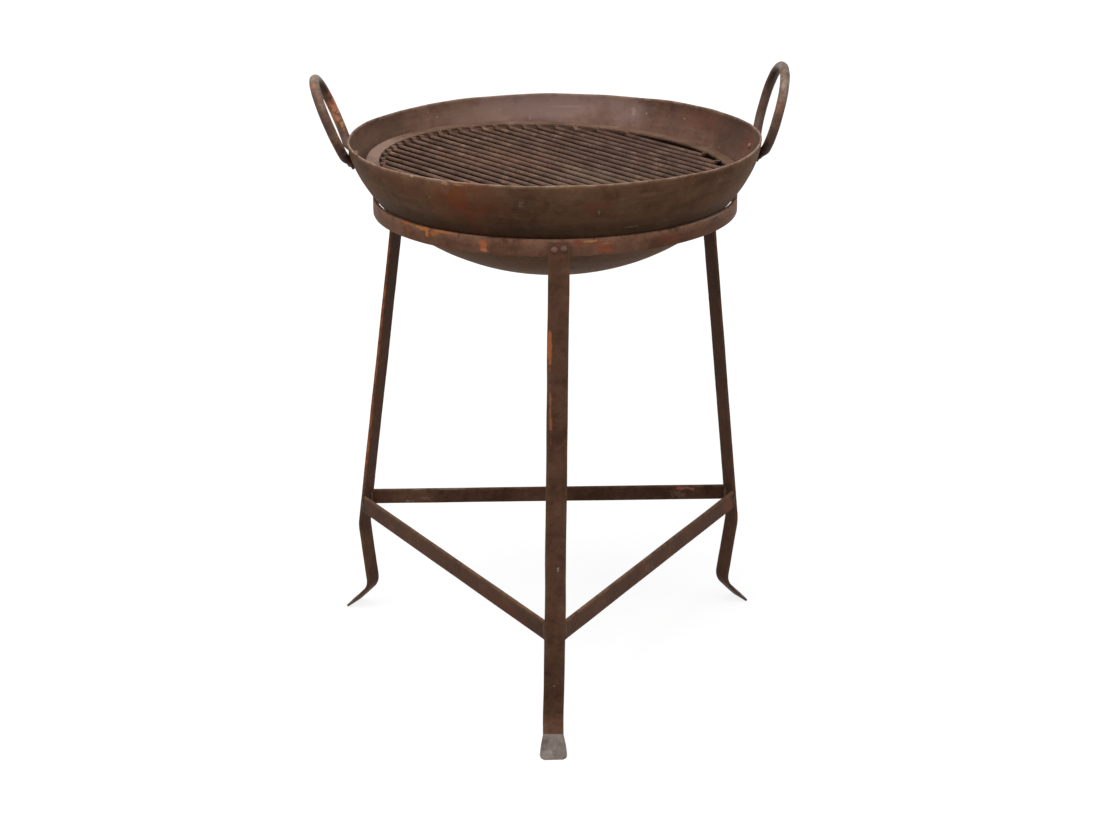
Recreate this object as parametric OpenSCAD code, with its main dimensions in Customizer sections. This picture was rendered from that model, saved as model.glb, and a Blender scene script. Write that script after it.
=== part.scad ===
// Fire bowl: a sheet steel bowl with two loop handles and a lift-out grate,
// standing in a flat-bar ring on three bent flat-bar legs.
// Millimetres, +Z up, the floor at Z = 0, the front leg towards -Y.

/* [Bowl] */
// Width of the bowl across its rim
rim_d = 600; // [560:5:660]
// Height of the bowl from its bottom to its rim
bowl_depth = 192; // [170:1:210]
// Thickness of the sheet
sheet_t = 3; // [2:0.5:4]
// Lean of the wall at the rim, in degrees from upright
rim_lean = 3.6; // [0:0.2:10]
// How far down the wall keeps close to that lean
wall_pull = 66; // [50:1:80]
// How far out from the middle the bottom stays nearly flat
base_pull = 191; // [170:1:210]
// Straight steps along the curve of the wall
wall_steps = 28; // [16:1:40]

/* [Stand ring] */
// Outer width of the ring
ring_d = 532.4; // [500:0.2:545]
// Thickness of the ring's flat bar
ring_t = 5; // [3:0.5:8]
// Height of the ring's flat bar
ring_h = 24; // [20:1:32]
// Height of the ring's top edge above the floor
ring_top = 735.3; // [650:0.1:800]
// Gap between the bowl and the ring's top inner edge
seat_gap = 0.4; // [0.3:0.1:1]

/* [Legs] */
// Width of a leg's flat bar
leg_w = 29.5; // [22:0.5:34]
// Thickness of a leg's flat bar
leg_t = 5; // [3:0.5:8]
// How far a leg's end stays below the ring's top edge
leg_end_drop = 4; // [1:0.5:8]
// Reach of the knee from the middle of the stand
knee_reach = 342.5; // [320:0.5:370]
// Height of the knee
knee_z = 148; // [120:1:165]
// Reach of the ankle from the middle of the stand
ankle_reach = 326.5; // [300:0.5:345]
// Height of the ankle
ankle_z = 42; // [30:1:60]
// Reach of the toe where it meets the floor
toe_reach = 368; // [350:1:400]
// How much wider the hammered toe is than the leg, on each side
toe_flare = 5; // [0:0.5:6]
// Height at which the toe starts to widen
toe_flare_z = 25.5; // [18:0.5:32]
// Radius of the toe's rounded corners
toe_round = 5; // [1:0.5:6]
// Inside radius of the bend under the ring
top_bend_r = 80; // [40:5:150]
// Inside radius of the bend at the knee
knee_bend_r = 60; // [30:5:90]
// Inside radius of the bend at the ankle
ankle_bend_r = 26; // [15:1:35]
// How far the feet stand to the left of the ring's middle
stand_lean = 14; // [0:1:20]

/* [Braces] */
// Thickness of the brace bars
brace_t = 5; // [3:0.5:8]
// Height of the two front brace bars
brace_h = 28; // [20:1:32]
// Height of the front braces' top edge above the floor
brace_top = 198.5; // [192:0.5:215]
// Height of the back brace bar
back_brace_h = 24; // [18:1:30]
// Height of the back brace's top edge above the floor
back_brace_top = 201.5; // [190:0.5:215]

/* [Ring rivets] */
// Width of a rivet's round head
ring_head_d = 9; // [7:0.5:12]
// Height of a rivet's round head
ring_head_h = 3.4; // [2:0.1:4]
// Width of a rivet's shank
ring_shank_d = 5; // [4:0.5:6]
// Distance between the two rivets of a leg
ring_rivet_pitch = 12.5; // [11:0.5:16]

/* [Handles] */
// Width of the round bar
bar_d = 14; // [8:0.5:16]
// Radius of the loop to the middle of the bar
loop_r = 60; // [50:1:70]
// Straight stretch in the sides of the left loop
left_straight = 10.5; // [4:0.5:20]
// Straight stretch in the sides of the right loop
right_straight = 13; // [4:0.5:25]
// Lean of the left loop outward from upright
left_lean = 22; // [19:0.5:32]
// Lean of the right loop outward from upright
right_lean = 15; // [14:0.5:30]
// Twist of the right loop about its upright line
right_twist = 0; // [0:0.5:4]
// Place of the left handle round the bowl, from straight left
left_turn = 1; // [-5:0.5:5]
// Place of the right handle round the bowl, from straight right
right_turn = 3; // [-5:0.5:5]
// Sweep of each bent-in end of the loop below its straight side
end_sweep = 45; // [40:1:50]
// How far below the rim the handle rivets go through the wall
handle_rivet_drop = 27; // [22:1:34]
// Distance of each handle rivet from the handle's middle
lug_offset = 26.5; // [22:0.5:30]
// Width of a flattened end
lug_w = 20; // [16:1:24]
// Thickness of a flattened end
lug_t = 5; // [4:0.5:7]
// How far the left loop's bar stands off the wall, at the rivets' height
left_stand_off = 4.5; // [4.5:0.5:8]
// How far the right loop's bar stands off the wall, at the rivets' height
right_stand_off = 5.5; // [5:0.5:9]

/* [Handle rivets] */
// Width of a handle rivet's head
handle_head_d = 10; // [8:0.5:13]
// Height of a handle rivet's head
handle_head_h = 3.6; // [2:0.1:4.5]
// Width of a handle rivet's shank
handle_shank_d = 6; // [4:0.5:7]

/* [Grate] */
// Height of the grate's plate above the bowl's bottom, at its middle
plate_rise = 151.2; // [130:0.1:158]
// Width of the plate's flat ring
plate_w = 19; // [14:1:26]
// Thickness of the plate
plate_t = 4; // [3:0.5:6]
// How steeply the grate lies down to the right, in degrees
plate_tip_right = 2.7; // [0:0.05:4]
// How steeply the grate lies down to the front, in degrees
plate_tip_front = 0.55; // [0:0.05:3]
// How far the grate lies off the bowl's middle, towards its high side
plate_off = 0; // [0:0.1:4]
// Gap between the plate and the wall at its nearest point
plate_gap = 0.4; // [0.3:0.1:3]
// Width of the round rods
rod_d = 9; // [6:0.5:11]
// Number of rods
rod_count = 25; // [15:2:25]
// Distance between the outermost rod and the plate's inner edge
rod_margin = 18; // [12:0.5:24]
// How far the rods' middle lies below the plate's top
rod_drop = 7; // [6:0.5:16]
// Radius of the upward bend at each rod's end, to the middle of the rod
rod_bend_r = 6; // [5:0.5:6]
// Direction of the rods, in degrees from the X axis
rod_turn = -46.3; // [-90:0.1:90]

/* [Hidden] */
LEGS = ["leg_front", "leg_left", "leg_right"];
LEG_ANGLES = [270, 150, 30];
RODS = [for (i = [1:rod_count]) str("grate_rod_", i < 10 ? "0" : "", i)];

// Smoothness of turned shapes and small clearances
$fn = 96;
touch = 0.05;
rivet_fit = 0.1;
tail_share = 0.75;
bend_steps = 6;
flare_steps = 5;

// Sizes that follow from those above
rim_r = rim_d / 2;
ring_r = ring_d / 2;
ring_ir = ring_r - ring_t;
rivet_z = ring_top - ring_h / 2;
pivot_z = rivet_z;
lean_angle = atan(stand_lean / pivot_z);

// Curve helpers
function bezier(a, b, c, d, t) =
    pow(1 - t, 3) * a + 3 * pow(1 - t, 2) * t * b + 3 * (1 - t) * t * t * c + pow(t, 3) * d;
function bezier_run(a, b, c, d, t) =
    3 * pow(1 - t, 2) * (b - a) + 6 * (1 - t) * t * (c - b) + 3 * t * t * (d - c);
function unit(v) = v / norm(v);
function turned(v) = [v.y, -v.x];
function reversed(list) = [for (i = [len(list) - 1:-1:0]) list[i]];

// Points of a rounded corner at b, between straight runs from a and to c
function corner(a, b, c, r) =
    let (
        u = unit(a - b), v = unit(c - b),
        half = acos(u * v) / 2,
        middle = b + unit(u + v) * r / sin(half),
        first = unit(b + u * r / tan(half) - middle),
        last = unit(b + v * r / tan(half) - middle),
        sweep = acos(first * last),
        side = cross(first, last) > 0 ? 1 : -1,
        start = atan2(first.y, first.x)
    )
    [for (i = [0:bend_steps])
        middle + r * [cos(start + side * sweep * i / bend_steps), sin(start + side * sweep * i / bend_steps)]];

// Direction of a path at one of its points
function run_at(path, i) =
    unit(path[min(i + 1, len(path) - 1)] - path[max(i - 1, 0)]);

// Outline of a bar of thickness t bent along a path
function bar_outline(path, t) = concat(
    [for (i = [0:len(path) - 1]) path[i] + turned(run_at(path, i)) * t / 2],
    reversed([for (i = [0:len(path) - 1]) path[i] - turned(run_at(path, i)) * t / 2])
);

// Bowl profile: [radius, height above the bowl's bottom]
bowl_curve = [
    [rim_r, bowl_depth],
    [rim_r - wall_pull * sin(rim_lean), bowl_depth - wall_pull * cos(rim_lean)],
    [base_pull, 0],
    [0, 0]
];
function outer_point(t) = bezier(bowl_curve[0], bowl_curve[1], bowl_curve[2], bowl_curve[3], t);
function inner_point(t) =
    outer_point(t) + sheet_t * turned(unit(bezier_run(bowl_curve[0], bowl_curve[1], bowl_curve[2], bowl_curve[3], t)));
outer_wall = [for (i = [0:wall_steps]) outer_point(i / wall_steps)];
inner_wall = [for (i = [0:wall_steps]) inner_point(i / wall_steps)];
height_to_outer = [for (p = reversed(outer_wall)) [p.y, p.x]];
height_to_inner = [for (p = reversed(inner_wall)) [p.y, p.x]];
outer_to_height = [for (p = reversed(outer_wall)) p];

// Places of the bowl and of what it carries
bowl_z = ring_top - lookup(ring_ir - seat_gap, outer_to_height);
rim_z = bowl_z + bowl_depth;
handle_rivet_h = bowl_depth - handle_rivet_drop;
function wall_r(h) = lookup(h, height_to_outer);
function wall_lean(h) = atan((wall_r(h + 3) - wall_r(h - 3)) / 6);
lug_turn = asin(lug_offset / wall_r(handle_rivet_h));

// Places of the grate: as wide as fits the wall all round where it lies
plate_slope = [-tan(plate_tip_right), tan(plate_tip_front)];
plate_middle = norm(plate_slope) > 0 ? plate_off * unit(plate_slope) : [0, 0];
plate_place = [plate_middle.x, plate_middle.y, plate_rise + plate_middle * plate_slope];
function tipped(v) =
    let (
        f = plate_tip_front, r = plate_tip_right,
        w = [v.x, v.y * cos(f) - v.z * sin(f), v.y * sin(f) + v.z * cos(f)]
    )
    [w.x * cos(r) + w.z * sin(r), w.y, w.z * cos(r) - w.x * sin(r)];
// Least room between the lower edge of a plate of radius r and the wall
function plate_room(r) = min([for (a = [0:5:355])
    let (p = plate_place + tipped([r * cos(a), r * sin(a), -plate_t]))
    lookup(p.z, height_to_inner) - norm([p.x, p.y])]);
function settled(r, tries) = tries == 0 ? r : settled(r + plate_room(r), tries - 1);
plate_r = settled(lookup(plate_rise - plate_t, height_to_inner), 5) - plate_gap;
plate_ir = plate_r - plate_w;
rod_end_r = plate_ir - rod_d / 2 - touch;
rod_pitch = 2 * (plate_ir - rod_margin) / (rod_count - 1);
function rod_offset(i) = (i - (rod_count + 1) / 2) * rod_pitch;
function rod_reach(i) = sqrt(pow(rod_end_r, 2) - pow(rod_offset(i), 2));

// Legs: path in the plane of a leg, [reach, height]
// The lean moves each point of a leg sideways in proportion to its depth below the rivets.
function lean_at(z, angle) = -stand_lean * cos(angle) * (pivot_z - z) / pivot_z;
leg_top_r = ring_r + touch + leg_t / 2;
toe_below = 8;
toe_slope = (toe_reach - ankle_reach) / ankle_z;
function leg_corners(angle) = [
    [leg_top_r, ring_top - leg_end_drop],
    [leg_top_r, ring_top - ring_h - 3],
    [knee_reach + lean_at(knee_z, angle), knee_z],
    [ankle_reach + lean_at(ankle_z, angle), ankle_z],
    [toe_reach + toe_below * toe_slope + lean_at(0, angle), -toe_below]
];
function leg_path(angle) =
    let (p = leg_corners(angle))
    concat(
        [p[0]], corner(p[0], p[1], p[2], top_bend_r),
        corner(p[1], p[2], p[3], knee_bend_r),
        corner(p[2], p[3], p[4], ankle_bend_r), [p[4]]
    );
// Sideways turn of a leg about the line through its rivets
function leg_side_angle(angle) = atan(stand_lean * sin(angle) / pivot_z);

// Reach of the inner face of a leg's long straight stretch at a height
function leg_face_r(angle, z) =
    let (p = leg_corners(angle), run = unit(p[2] - p[1]))
    p[1].x + (p[1].y - z) * (p[2].x - p[1].x) / (p[1].y - p[2].y) - leg_t / 2 / -run.y;
// Point of that face in the plan, at a distance along the face from its middle
function leg_face_point(angle, along, z) =
    let (
        r = leg_face_r(angle, z),
        s = along + (pivot_z - z) * tan(leg_side_angle(angle))
    )
    [r * cos(angle) - s * sin(angle), r * sin(angle) + s * cos(angle)];

// The whole part is centred over its bounding box
function loop_top_reach(turn, straight, lean, twist, stand_off) =
    let (
        w = turn + twist,
        base = (wall_r(handle_rivet_h) + stand_off) * cos(turn),
        middle = loop_middle(straight) * sin(lean) * cos(w),
        across = norm([sin(w), sin(lean) * cos(w)]) * loop_r
    )
    base + middle + across + bar_d / 2;
function loop_middle(straight) = loop_r * sin(lug_drop_angle) + straight;
lug_drop_angle = acos(lug_offset / loop_r);
left_reach = loop_top_reach(left_turn, left_straight, left_lean, 0, left_stand_off);
right_reach = loop_top_reach(right_turn, right_straight, right_lean, -right_twist, right_stand_off);
front_reach = toe_reach + leg_t / 2 / cos(atan(toe_slope));
shift = [(left_reach - right_reach) / 2, (front_reach - rim_r) / 2, 0];

module placed() { translate(shift) children(); }
module in_leg(angle) {
    placed() rotate([0, 0, angle])
        translate([0, 0, pivot_z]) rotate([leg_side_angle(angle), 0, 0]) translate([0, 0, -pivot_z])
            children();
}
module in_bowl() { placed() translate([0, 0, bowl_z]) children(); }
module in_grate() {
    in_bowl() translate(plate_place) rotate([plate_tip_front, plate_tip_right, 0]) children();
}

// A low round head standing on the XY plane
module dome(d, h) {
    ball_r = (d * d / 4 + h * h) / (2 * h);
    intersection() {
        translate([0, 0, h - ball_r]) sphere(r = ball_r);
        cylinder(d = d, h = h);
    }
}

// A rivet along X: its head starts at x = grip, and its tail at x = 0
module rivet(shank_d, head_d, head_h, grip) {
    rotate([0, 90, 0]) {
        cylinder(d = shank_d, h = grip, $fn = 32);
        translate([0, 0, grip]) dome(head_d, head_h);
        mirror([0, 0, 1]) dome(head_d * tail_share, head_h * tail_share);
    }
}

// Stand
module ring_rivet_places(angle) {
    in_leg(angle)
        for (side = [-1, 1])
            translate([ring_ir, side * ring_rivet_pitch / 2, rivet_z]) children();
}

module stand_ring() {
    color("#5b4338") difference() {
        placed() translate([0, 0, ring_top - ring_h]) difference() {
            cylinder(r = ring_r, h = ring_h, $fn = 180);
            translate([0, 0, -1]) cylinder(r = ring_ir, h = ring_h + 2, $fn = 180);
        }
        for (angle = LEG_ANGLES)
            ring_rivet_places(angle) translate([-ring_t, 0, 0]) rotate([0, 90, 0])
                cylinder(d = ring_shank_d + 2 * rivet_fit, h = 4 * ring_t, $fn = 24);
    }
}

// Front outline of a leg: straight bar that widens to a toe with rounded corners
module leg_front_outline() {
    half = leg_w / 2;
    wide = half + toe_flare;
    right_edge = concat(
        [[half, ring_top]],
        [for (t = [0:1 / flare_steps:1])
            [half + toe_flare * sin(90 * t), toe_flare_z - (toe_flare_z - toe_round) * t]],
        [for (a = [0:15:90]) [wide - toe_round * (1 - cos(a)), toe_round * (1 - sin(a)) - 10 * touch]],
        [[wide - toe_round, -toe_below - 1]]
    );
    polygon(concat(right_edge, reversed([for (p = right_edge) [-p.x, p.y]])));
}

module leg(angle) {
    wide = leg_w + 2 * toe_flare;
    color("#4b362c") difference() {
        in_leg(angle) intersection() {
            rotate([90, 0, 0]) linear_extrude(height = wide + 2, center = true)
                polygon(bar_outline(leg_path(angle), leg_t));
            rotate([90, 0, 90]) linear_extrude(height = toe_reach * 2) leg_front_outline();
        }
        ring_rivet_places(angle) translate([ring_t / 2, 0, 0]) rotate([0, 90, 0])
            cylinder(d = ring_shank_d + 2 * rivet_fit, h = 3 * leg_t, $fn = 24);
        placed() translate([-toe_reach * 2, -toe_reach * 2, -4 * toe_below])
            cube([toe_reach * 4, toe_reach * 4, 4 * toe_below]);
    }
}

module ring_rivets(angle) {
    edge = (ring_rivet_pitch + ring_head_d * tail_share) / 2;
    seat = ring_ir - sqrt(pow(ring_ir, 2) - edge * edge) + touch;
    color("#6a5346") ring_rivet_places(angle) translate([-seat, 0, 0])
        rivet(ring_shank_d, ring_head_d, ring_head_h, seat + ring_t + leg_t + 2 * touch);
}

// Everything behind the inner face of a leg's long straight stretch
module behind_leg_face(angle) {
    p = leg_corners(angle);
    tilt = atan((p[2].x - p[1].x) / (p[1].y - p[2].y));
    in_leg(angle) translate([leg_face_r(angle, brace_top) - touch, 0, brace_top]) rotate([0, -tilt, 0])
        translate([0, -leg_w * 2, -leg_w * 4]) cube([leg_w * 2, leg_w * 4, leg_w * 8]);
}

// A flat bar on edge from one leg's inner face to the next, its outer side flush with their edges
module brace(from_angle, to_angle, top, height) {
    z = top - height / 2;
    start = leg_face_point(from_angle, leg_w / 2, z);
    end = leg_face_point(to_angle, -leg_w / 2, z);
    run = unit(end - start);
    inward = [-run.y, run.x];
    reach = 3 * brace_t;
    color("#54402f") difference() {
        placed() translate([0, 0, top - height]) linear_extrude(height = height) polygon([
            start - run * reach, end + run * reach,
            end + run * reach + inward * brace_t, start - run * reach + inward * brace_t
        ]);
        behind_leg_face(from_angle);
        behind_leg_face(to_angle);
    }
}

// Bowl and handles
module at_lug(turn, side) {
    h = handle_rivet_h;
    in_bowl() rotate([0, 0, turn + side * lug_turn]) translate([wall_r(h), 0, h])
        rotate([0, wall_lean(h), 0]) children();
}

module bowl() {
    color("#5a4632") difference() {
        in_bowl() rotate_extrude($fn = 180) polygon(concat(outer_wall, reversed(inner_wall)));
        for (turn = [180 + left_turn, right_turn], side = [-1, 1])
            at_lug(turn, side) translate([-3 * sheet_t, 0, 0]) rotate([0, 90, 0])
                cylinder(d = handle_shank_d + 2 * rivet_fit, h = 6 * sheet_t, $fn = 24);
    }
}

// Round bar bent to an arc about the Z axis
module bar_arc(sweep) {
    rotate_extrude(angle = sweep) translate([loop_r, 0]) circle(d = bar_d, $fn = 32);
}

// A flattened end: round about its rivet, straight towards the bar, flat on the XY plane
module lug(run, length) {
    rotate([0, 0, run]) linear_extrude(height = lug_t) polygon(concat(
        [for (a = [90:15:270]) lug_w / 2 * [cos(a), sin(a)]],
        [[length, -lug_w / 2], [length, lug_w / 2]]
    ));
}

// The loop's own plane: X outward, Y along the wall, Z up the loop, the rivets' height at Z = 0
module in_loop(turn, lean, twist, stand_off) {
    in_bowl() rotate([0, 0, turn])
        translate([wall_r(handle_rivet_h) + stand_off, 0, handle_rivet_h])
            rotate([0, 0, twist]) rotate([0, lean, 0]) children();
}

module handle(turn, lean, twist, straight, stand_off) {
    low = loop_r * sin(lug_drop_angle);
    lug_run = atan2(low - loop_r * sin(end_sweep), loop_r * cos(end_sweep) - lug_offset);
    lug_l = lug_w * 0.45;
    color("#5d4d42") difference() {
        union() {
            in_loop(turn, lean, twist, stand_off) translate([0, 0, low]) {
                translate([0, 0, straight]) rotate([90, 0, 90]) bar_arc(180);
                for (end = [0, 1]) mirror([0, end, 0]) {
                    translate([0, loop_r, 0]) cylinder(d = bar_d, h = straight, $fn = 32);
                    rotate([90, 0, 90]) mirror([0, 1, 0]) bar_arc(end_sweep);
                }
            }
            for (side = [-1, 1]) {
                run = side > 0 ? lug_run : 180 - lug_run;
                at_lug(turn, side) translate([touch, 0, 0]) rotate([90, 0, 90]) lug(run, lug_l);
                // The neck, where the round bar is hammered flat
                hull() {
                    at_lug(turn, side) translate([2 * touch, 0, 0]) rotate([90, 0, 90]) rotate([0, 0, run])
                        translate([lug_l - 2, -lug_w / 2 + touch, 0])
                            cube([1, lug_w - 2 * touch, lug_t - 2 * touch]);
                    in_loop(turn, lean, twist, stand_off) translate([0, 0, low]) rotate([90, 0, 90])
                        rotate([0, 0, side > 0 ? -end_sweep : 180 + end_sweep]) translate([loop_r, 0, 0])
                            rotate([90, 0, 0]) cylinder(d = bar_d + 4 * touch, h = 1, center = true, $fn = 32);
                }
            }
        }
        for (side = [-1, 1])
            at_lug(turn, side) translate([-1, 0, 0]) rotate([0, 90, 0])
                cylinder(d = handle_shank_d + 2 * rivet_fit, h = 6 * lug_t, $fn = 24);
    }
}

module handle_rivets(turn) {
    color("#6e5a4c")
        for (side = [-1, 1])
            at_lug(turn, side) translate([-sheet_t - 2 * touch, 0, 0])
                rivet(handle_shank_d, handle_head_d, handle_head_h, sheet_t + lug_t + 4 * touch);
}

// Grate
module grate_plate() {
    color("#6b594c") in_grate() translate([0, 0, -plate_t]) difference() {
        cylinder(r = plate_r, h = plate_t, $fn = 180);
        translate([0, 0, -1]) cylinder(r = plate_ir, h = plate_t + 2, $fn = 180);
    }
}

// The end of a rod, from where its straight stretch stops: bent up against the plate's inner edge
module rod_end() {
    translate([0, 0, rod_bend_r]) {
        rotate([-90, 0, 0]) rotate_extrude(angle = 90) translate([rod_bend_r, 0]) circle(d = rod_d, $fn = 32);
        translate([rod_bend_r, 0, 0]) cylinder(d = rod_d, h = rod_drop - rod_bend_r, $fn = 32);
    }
}

module grate_rod(i) {
    straight = 2 * (rod_reach(i) - rod_bend_r);
    color("#4f3d31") in_grate() rotate([0, 0, rod_turn])
        translate([-straight / 2, rod_offset(i), -rod_drop]) {
            rotate([0, 90, 0]) cylinder(d = rod_d, h = straight, $fn = 32);
            mirror([1, 0, 0]) rod_end();
            translate([straight, 0, 0]) rod_end();
        }
}

stand_ring();
for (i = [0:2]) leg(LEG_ANGLES[i]);
ring_rivets(LEG_ANGLES[0]);  // ring_rivets_front
ring_rivets(LEG_ANGLES[1]);  // ring_rivets_left
ring_rivets(LEG_ANGLES[2]);  // ring_rivets_right
brace(150, 270, brace_top, brace_h);  // brace_left
brace(270, 30, brace_top, brace_h);  // brace_right
brace(30, 150, back_brace_top, back_brace_h);  // brace_back
bowl();
handle(180 + left_turn, left_lean, 0, left_straight, left_stand_off);  // handle_left
handle(right_turn, right_lean, -right_twist, right_straight, right_stand_off);  // handle_right
handle_rivets(180 + left_turn);  // handle_rivets_left
handle_rivets(right_turn);  // handle_rivets_right
grate_plate();
for (i = [1:rod_count]) grate_rod(i);
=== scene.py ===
"""Looks of a round fire bowl on its three-legged stand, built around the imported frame."""

import bisect
import logging
import math
from collections.abc import Callable, Sequence
from dataclasses import dataclass, field
from enum import Enum

import bpy
from mathutils import Matrix, Vector, noise


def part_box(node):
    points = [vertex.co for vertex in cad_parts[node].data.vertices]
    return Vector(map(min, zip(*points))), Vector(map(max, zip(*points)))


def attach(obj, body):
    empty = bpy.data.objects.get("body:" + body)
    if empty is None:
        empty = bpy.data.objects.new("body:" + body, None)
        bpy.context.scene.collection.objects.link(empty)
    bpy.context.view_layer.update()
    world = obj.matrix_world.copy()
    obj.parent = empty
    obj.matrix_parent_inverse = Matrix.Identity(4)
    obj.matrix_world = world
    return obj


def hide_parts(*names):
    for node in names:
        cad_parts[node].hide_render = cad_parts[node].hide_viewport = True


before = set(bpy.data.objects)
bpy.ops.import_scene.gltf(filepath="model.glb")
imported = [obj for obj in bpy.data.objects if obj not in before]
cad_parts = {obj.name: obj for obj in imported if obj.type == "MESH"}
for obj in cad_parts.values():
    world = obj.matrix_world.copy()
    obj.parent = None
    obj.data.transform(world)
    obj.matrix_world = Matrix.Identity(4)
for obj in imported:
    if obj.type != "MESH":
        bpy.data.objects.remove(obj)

LOG = logging.getLogger("fire_bowl")
MM = 0.001
UP = Vector((0.0, 0.0, 1.0))
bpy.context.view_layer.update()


def smooth(low: float, high: float, value: float) -> float:
    """Rises smoothly from 0 at low to 1 at high.

    Args:
        low: Where the rise starts.
        high: Where the rise ends.
        value: The place to read it at.

    Returns:
        A share from 0 to 1.
    """
    share = min(1.0, max(0.0, (value - low) / (high - low)))
    return share * share * (3.0 - 2.0 * share)


def ripple(point: Vector, size: float, seed: float) -> float:
    """Smooth noise of about -1 to 1.

    Args:
        point: Place in the frame, in metres.
        size: Distance between one swelling and the next, in metres.
        seed: Number that tells one use from another.

    Returns:
        The noise there.
    """
    return noise.noise(point / size + Vector((seed * 7.31, seed * 3.17, seed * 5.93)))


class Bench:
    """The modeller's bench: starts, shapes and finishes meshes with Blender's operators."""

    @staticmethod
    def clear() -> None:
        """Deselects everything."""
        for thing in list(bpy.context.selected_objects):
            thing.select_set(False)

    @staticmethod
    def take(thing: bpy.types.Object) -> None:
        """Makes one object the only selected and the active one."""
        Bench.clear()
        thing.select_set(True)
        bpy.context.view_layer.objects.active = thing

    @staticmethod
    def named(name: str) -> bpy.types.Object:
        """Names the object that an operator has just added, and its mesh."""
        thing = bpy.context.object
        thing.name = name
        thing.data.name = name
        return thing

    @staticmethod
    def open() -> None:
        """Enters edit mode."""
        bpy.ops.object.mode_set(mode="EDIT")

    @staticmethod
    def close() -> None:
        """Leaves edit mode."""
        bpy.ops.object.mode_set(mode="OBJECT")

    @staticmethod
    def tidy(thing: bpy.types.Object, merge: float = 1e-6, angle: float = 40.0) -> None:
        """Merges doubles, turns the faces outwards and shades the piece smooth.

        Args:
            thing: The piece.
            merge: Distance under which points become one, in metres.
            angle: Edges sharper than this stay sharp, in degrees.
        """
        Bench.take(thing)
        Bench.open()
        bpy.ops.mesh.select_all(action="SELECT")
        bpy.ops.mesh.remove_doubles(threshold=merge)
        bpy.ops.mesh.normals_make_consistent(inside=False)
        Bench.close()
        bpy.ops.object.shade_smooth_by_angle(angle=math.radians(angle))
        Bench.clear()

    @staticmethod
    def modify(thing: bpy.types.Object, kind: str, **settings: object) -> None:
        """Adds a modifier with its settings and applies it."""
        Bench.take(thing)
        modifier = thing.modifiers.new(kind.title(), kind)
        for key, value in settings.items():
            setattr(modifier, key, value)
        bpy.ops.object.modifier_apply(modifier=modifier.name)
        Bench.clear()

    @staticmethod
    def turned(name: str, outline: Sequence[tuple[float, float]], steps: int) -> bpy.types.Object:
        """Draws an outline with extrusions and spins it once round the Z axis.

        Args:
            name: The piece's name.
            outline: Points of radius and height, in metres.
            steps: Number of stretches round the axis.

        Returns:
            The turned piece.
        """
        Bench.clear()
        bpy.ops.mesh.primitive_plane_add(size=0.01)
        thing = Bench.named(name)
        Bench.open()
        bpy.ops.mesh.select_all(action="SELECT")
        bpy.ops.mesh.merge(type="CENTER")
        places = [Vector((r, 0.0, z)) for r, z in outline]
        bpy.ops.transform.translate(value=places[0])
        for before, after in zip(places, places[1:]):
            bpy.ops.mesh.extrude_region_move(TRANSFORM_OT_translate={"value": after - before})
        bpy.ops.mesh.select_all(action="SELECT")
        bpy.ops.mesh.spin(steps=steps, angle=math.tau, center=(0, 0, 0), axis=(0, 0, 1))
        Bench.close()
        Bench.tidy(thing)
        return thing

    @staticmethod
    def flat_bar(name: str, size: Vector, cuts: tuple[int, int], edge: float) -> bpy.types.Object:
        """Rolls a straight flat bar: X across, Y along from 0, Z through its thickness.

        Args:
            name: The bar's name.
            size: Width, length and thickness, in metres.
            cuts: Faces across and along.
            edge: Radius of its eased edges, in metres.

        Returns:
            The bar.
        """
        Bench.clear()
        bpy.ops.mesh.primitive_grid_add(x_subdivisions=cuts[0], y_subdivisions=cuts[1], size=1.0)
        thing = Bench.named(name)
        Bench.open()
        bpy.ops.mesh.select_all(action="SELECT")
        bpy.ops.transform.resize(value=(size.x, size.y, 1.0), center_override=(0, 0, 0))
        bpy.ops.transform.translate(value=(0, size.y / 2, 0))
        Bench.close()
        Bench.modify(thing, "SOLIDIFY", thickness=size.z, offset=0.0)
        Bench.modify(thing, "BEVEL", width=edge, segments=2, limit_method="ANGLE")
        return thing

    @staticmethod
    def round_bar(name: str, radius: float, length: float, cuts: tuple[int, int]) -> bpy.types.Object:
        """Draws out a straight round bar along Y from 0, by extruding a disc.

        Args:
            name: The bar's name.
            radius: The bar's radius, in metres.
            length: The bar's length, in metres.
            cuts: Faces round and along.

        Returns:
            The bar.
        """
        Bench.clear()
        bpy.ops.mesh.primitive_circle_add(
            vertices=cuts[0], radius=radius, fill_type="NGON", rotation=(math.pi / 2, 0, 0)
        )
        thing = Bench.named(name)
        bpy.ops.object.transform_apply(location=True, rotation=True, scale=True)
        Bench.open()
        bpy.ops.mesh.select_all(action="SELECT")
        step = Vector((0.0, length / cuts[1], 0.0))
        for _ in range(cuts[1]):
            bpy.ops.mesh.extrude_region_move(TRANSFORM_OT_translate={"value": step})
        Bench.close()
        return thing

    @staticmethod
    def shape(thing: bpy.types.Object, move: Callable[[Vector], Vector]) -> None:
        """Moves each point of a mesh where a function says, as hammering and bending do."""
        for point in thing.data.vertices:
            point.co = move(point.co.copy())
        thing.data.update()

    @staticmethod
    def mark(thing: bpy.types.Object, name: str, value: Callable[[Vector], float]) -> None:
        """Writes a number at each point of a mesh, for its material to read."""
        layer = thing.data.attributes.new(name, "FLOAT", "POINT")
        layer.data.foreach_set("value", [value(point.co) for point in thing.data.vertices])

    @staticmethod
    def cut(thing: bpy.types.Object, point: Vector, normal: Vector) -> None:
        """Saws off what lies beyond a plane, on the side its normal points to, and closes the cut."""
        Bench.take(thing)
        Bench.open()
        bpy.ops.mesh.select_all(action="SELECT")
        bpy.ops.mesh.bisect(plane_co=point, plane_no=normal, use_fill=True, clear_outer=True)
        Bench.close()
        Bench.clear()

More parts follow.
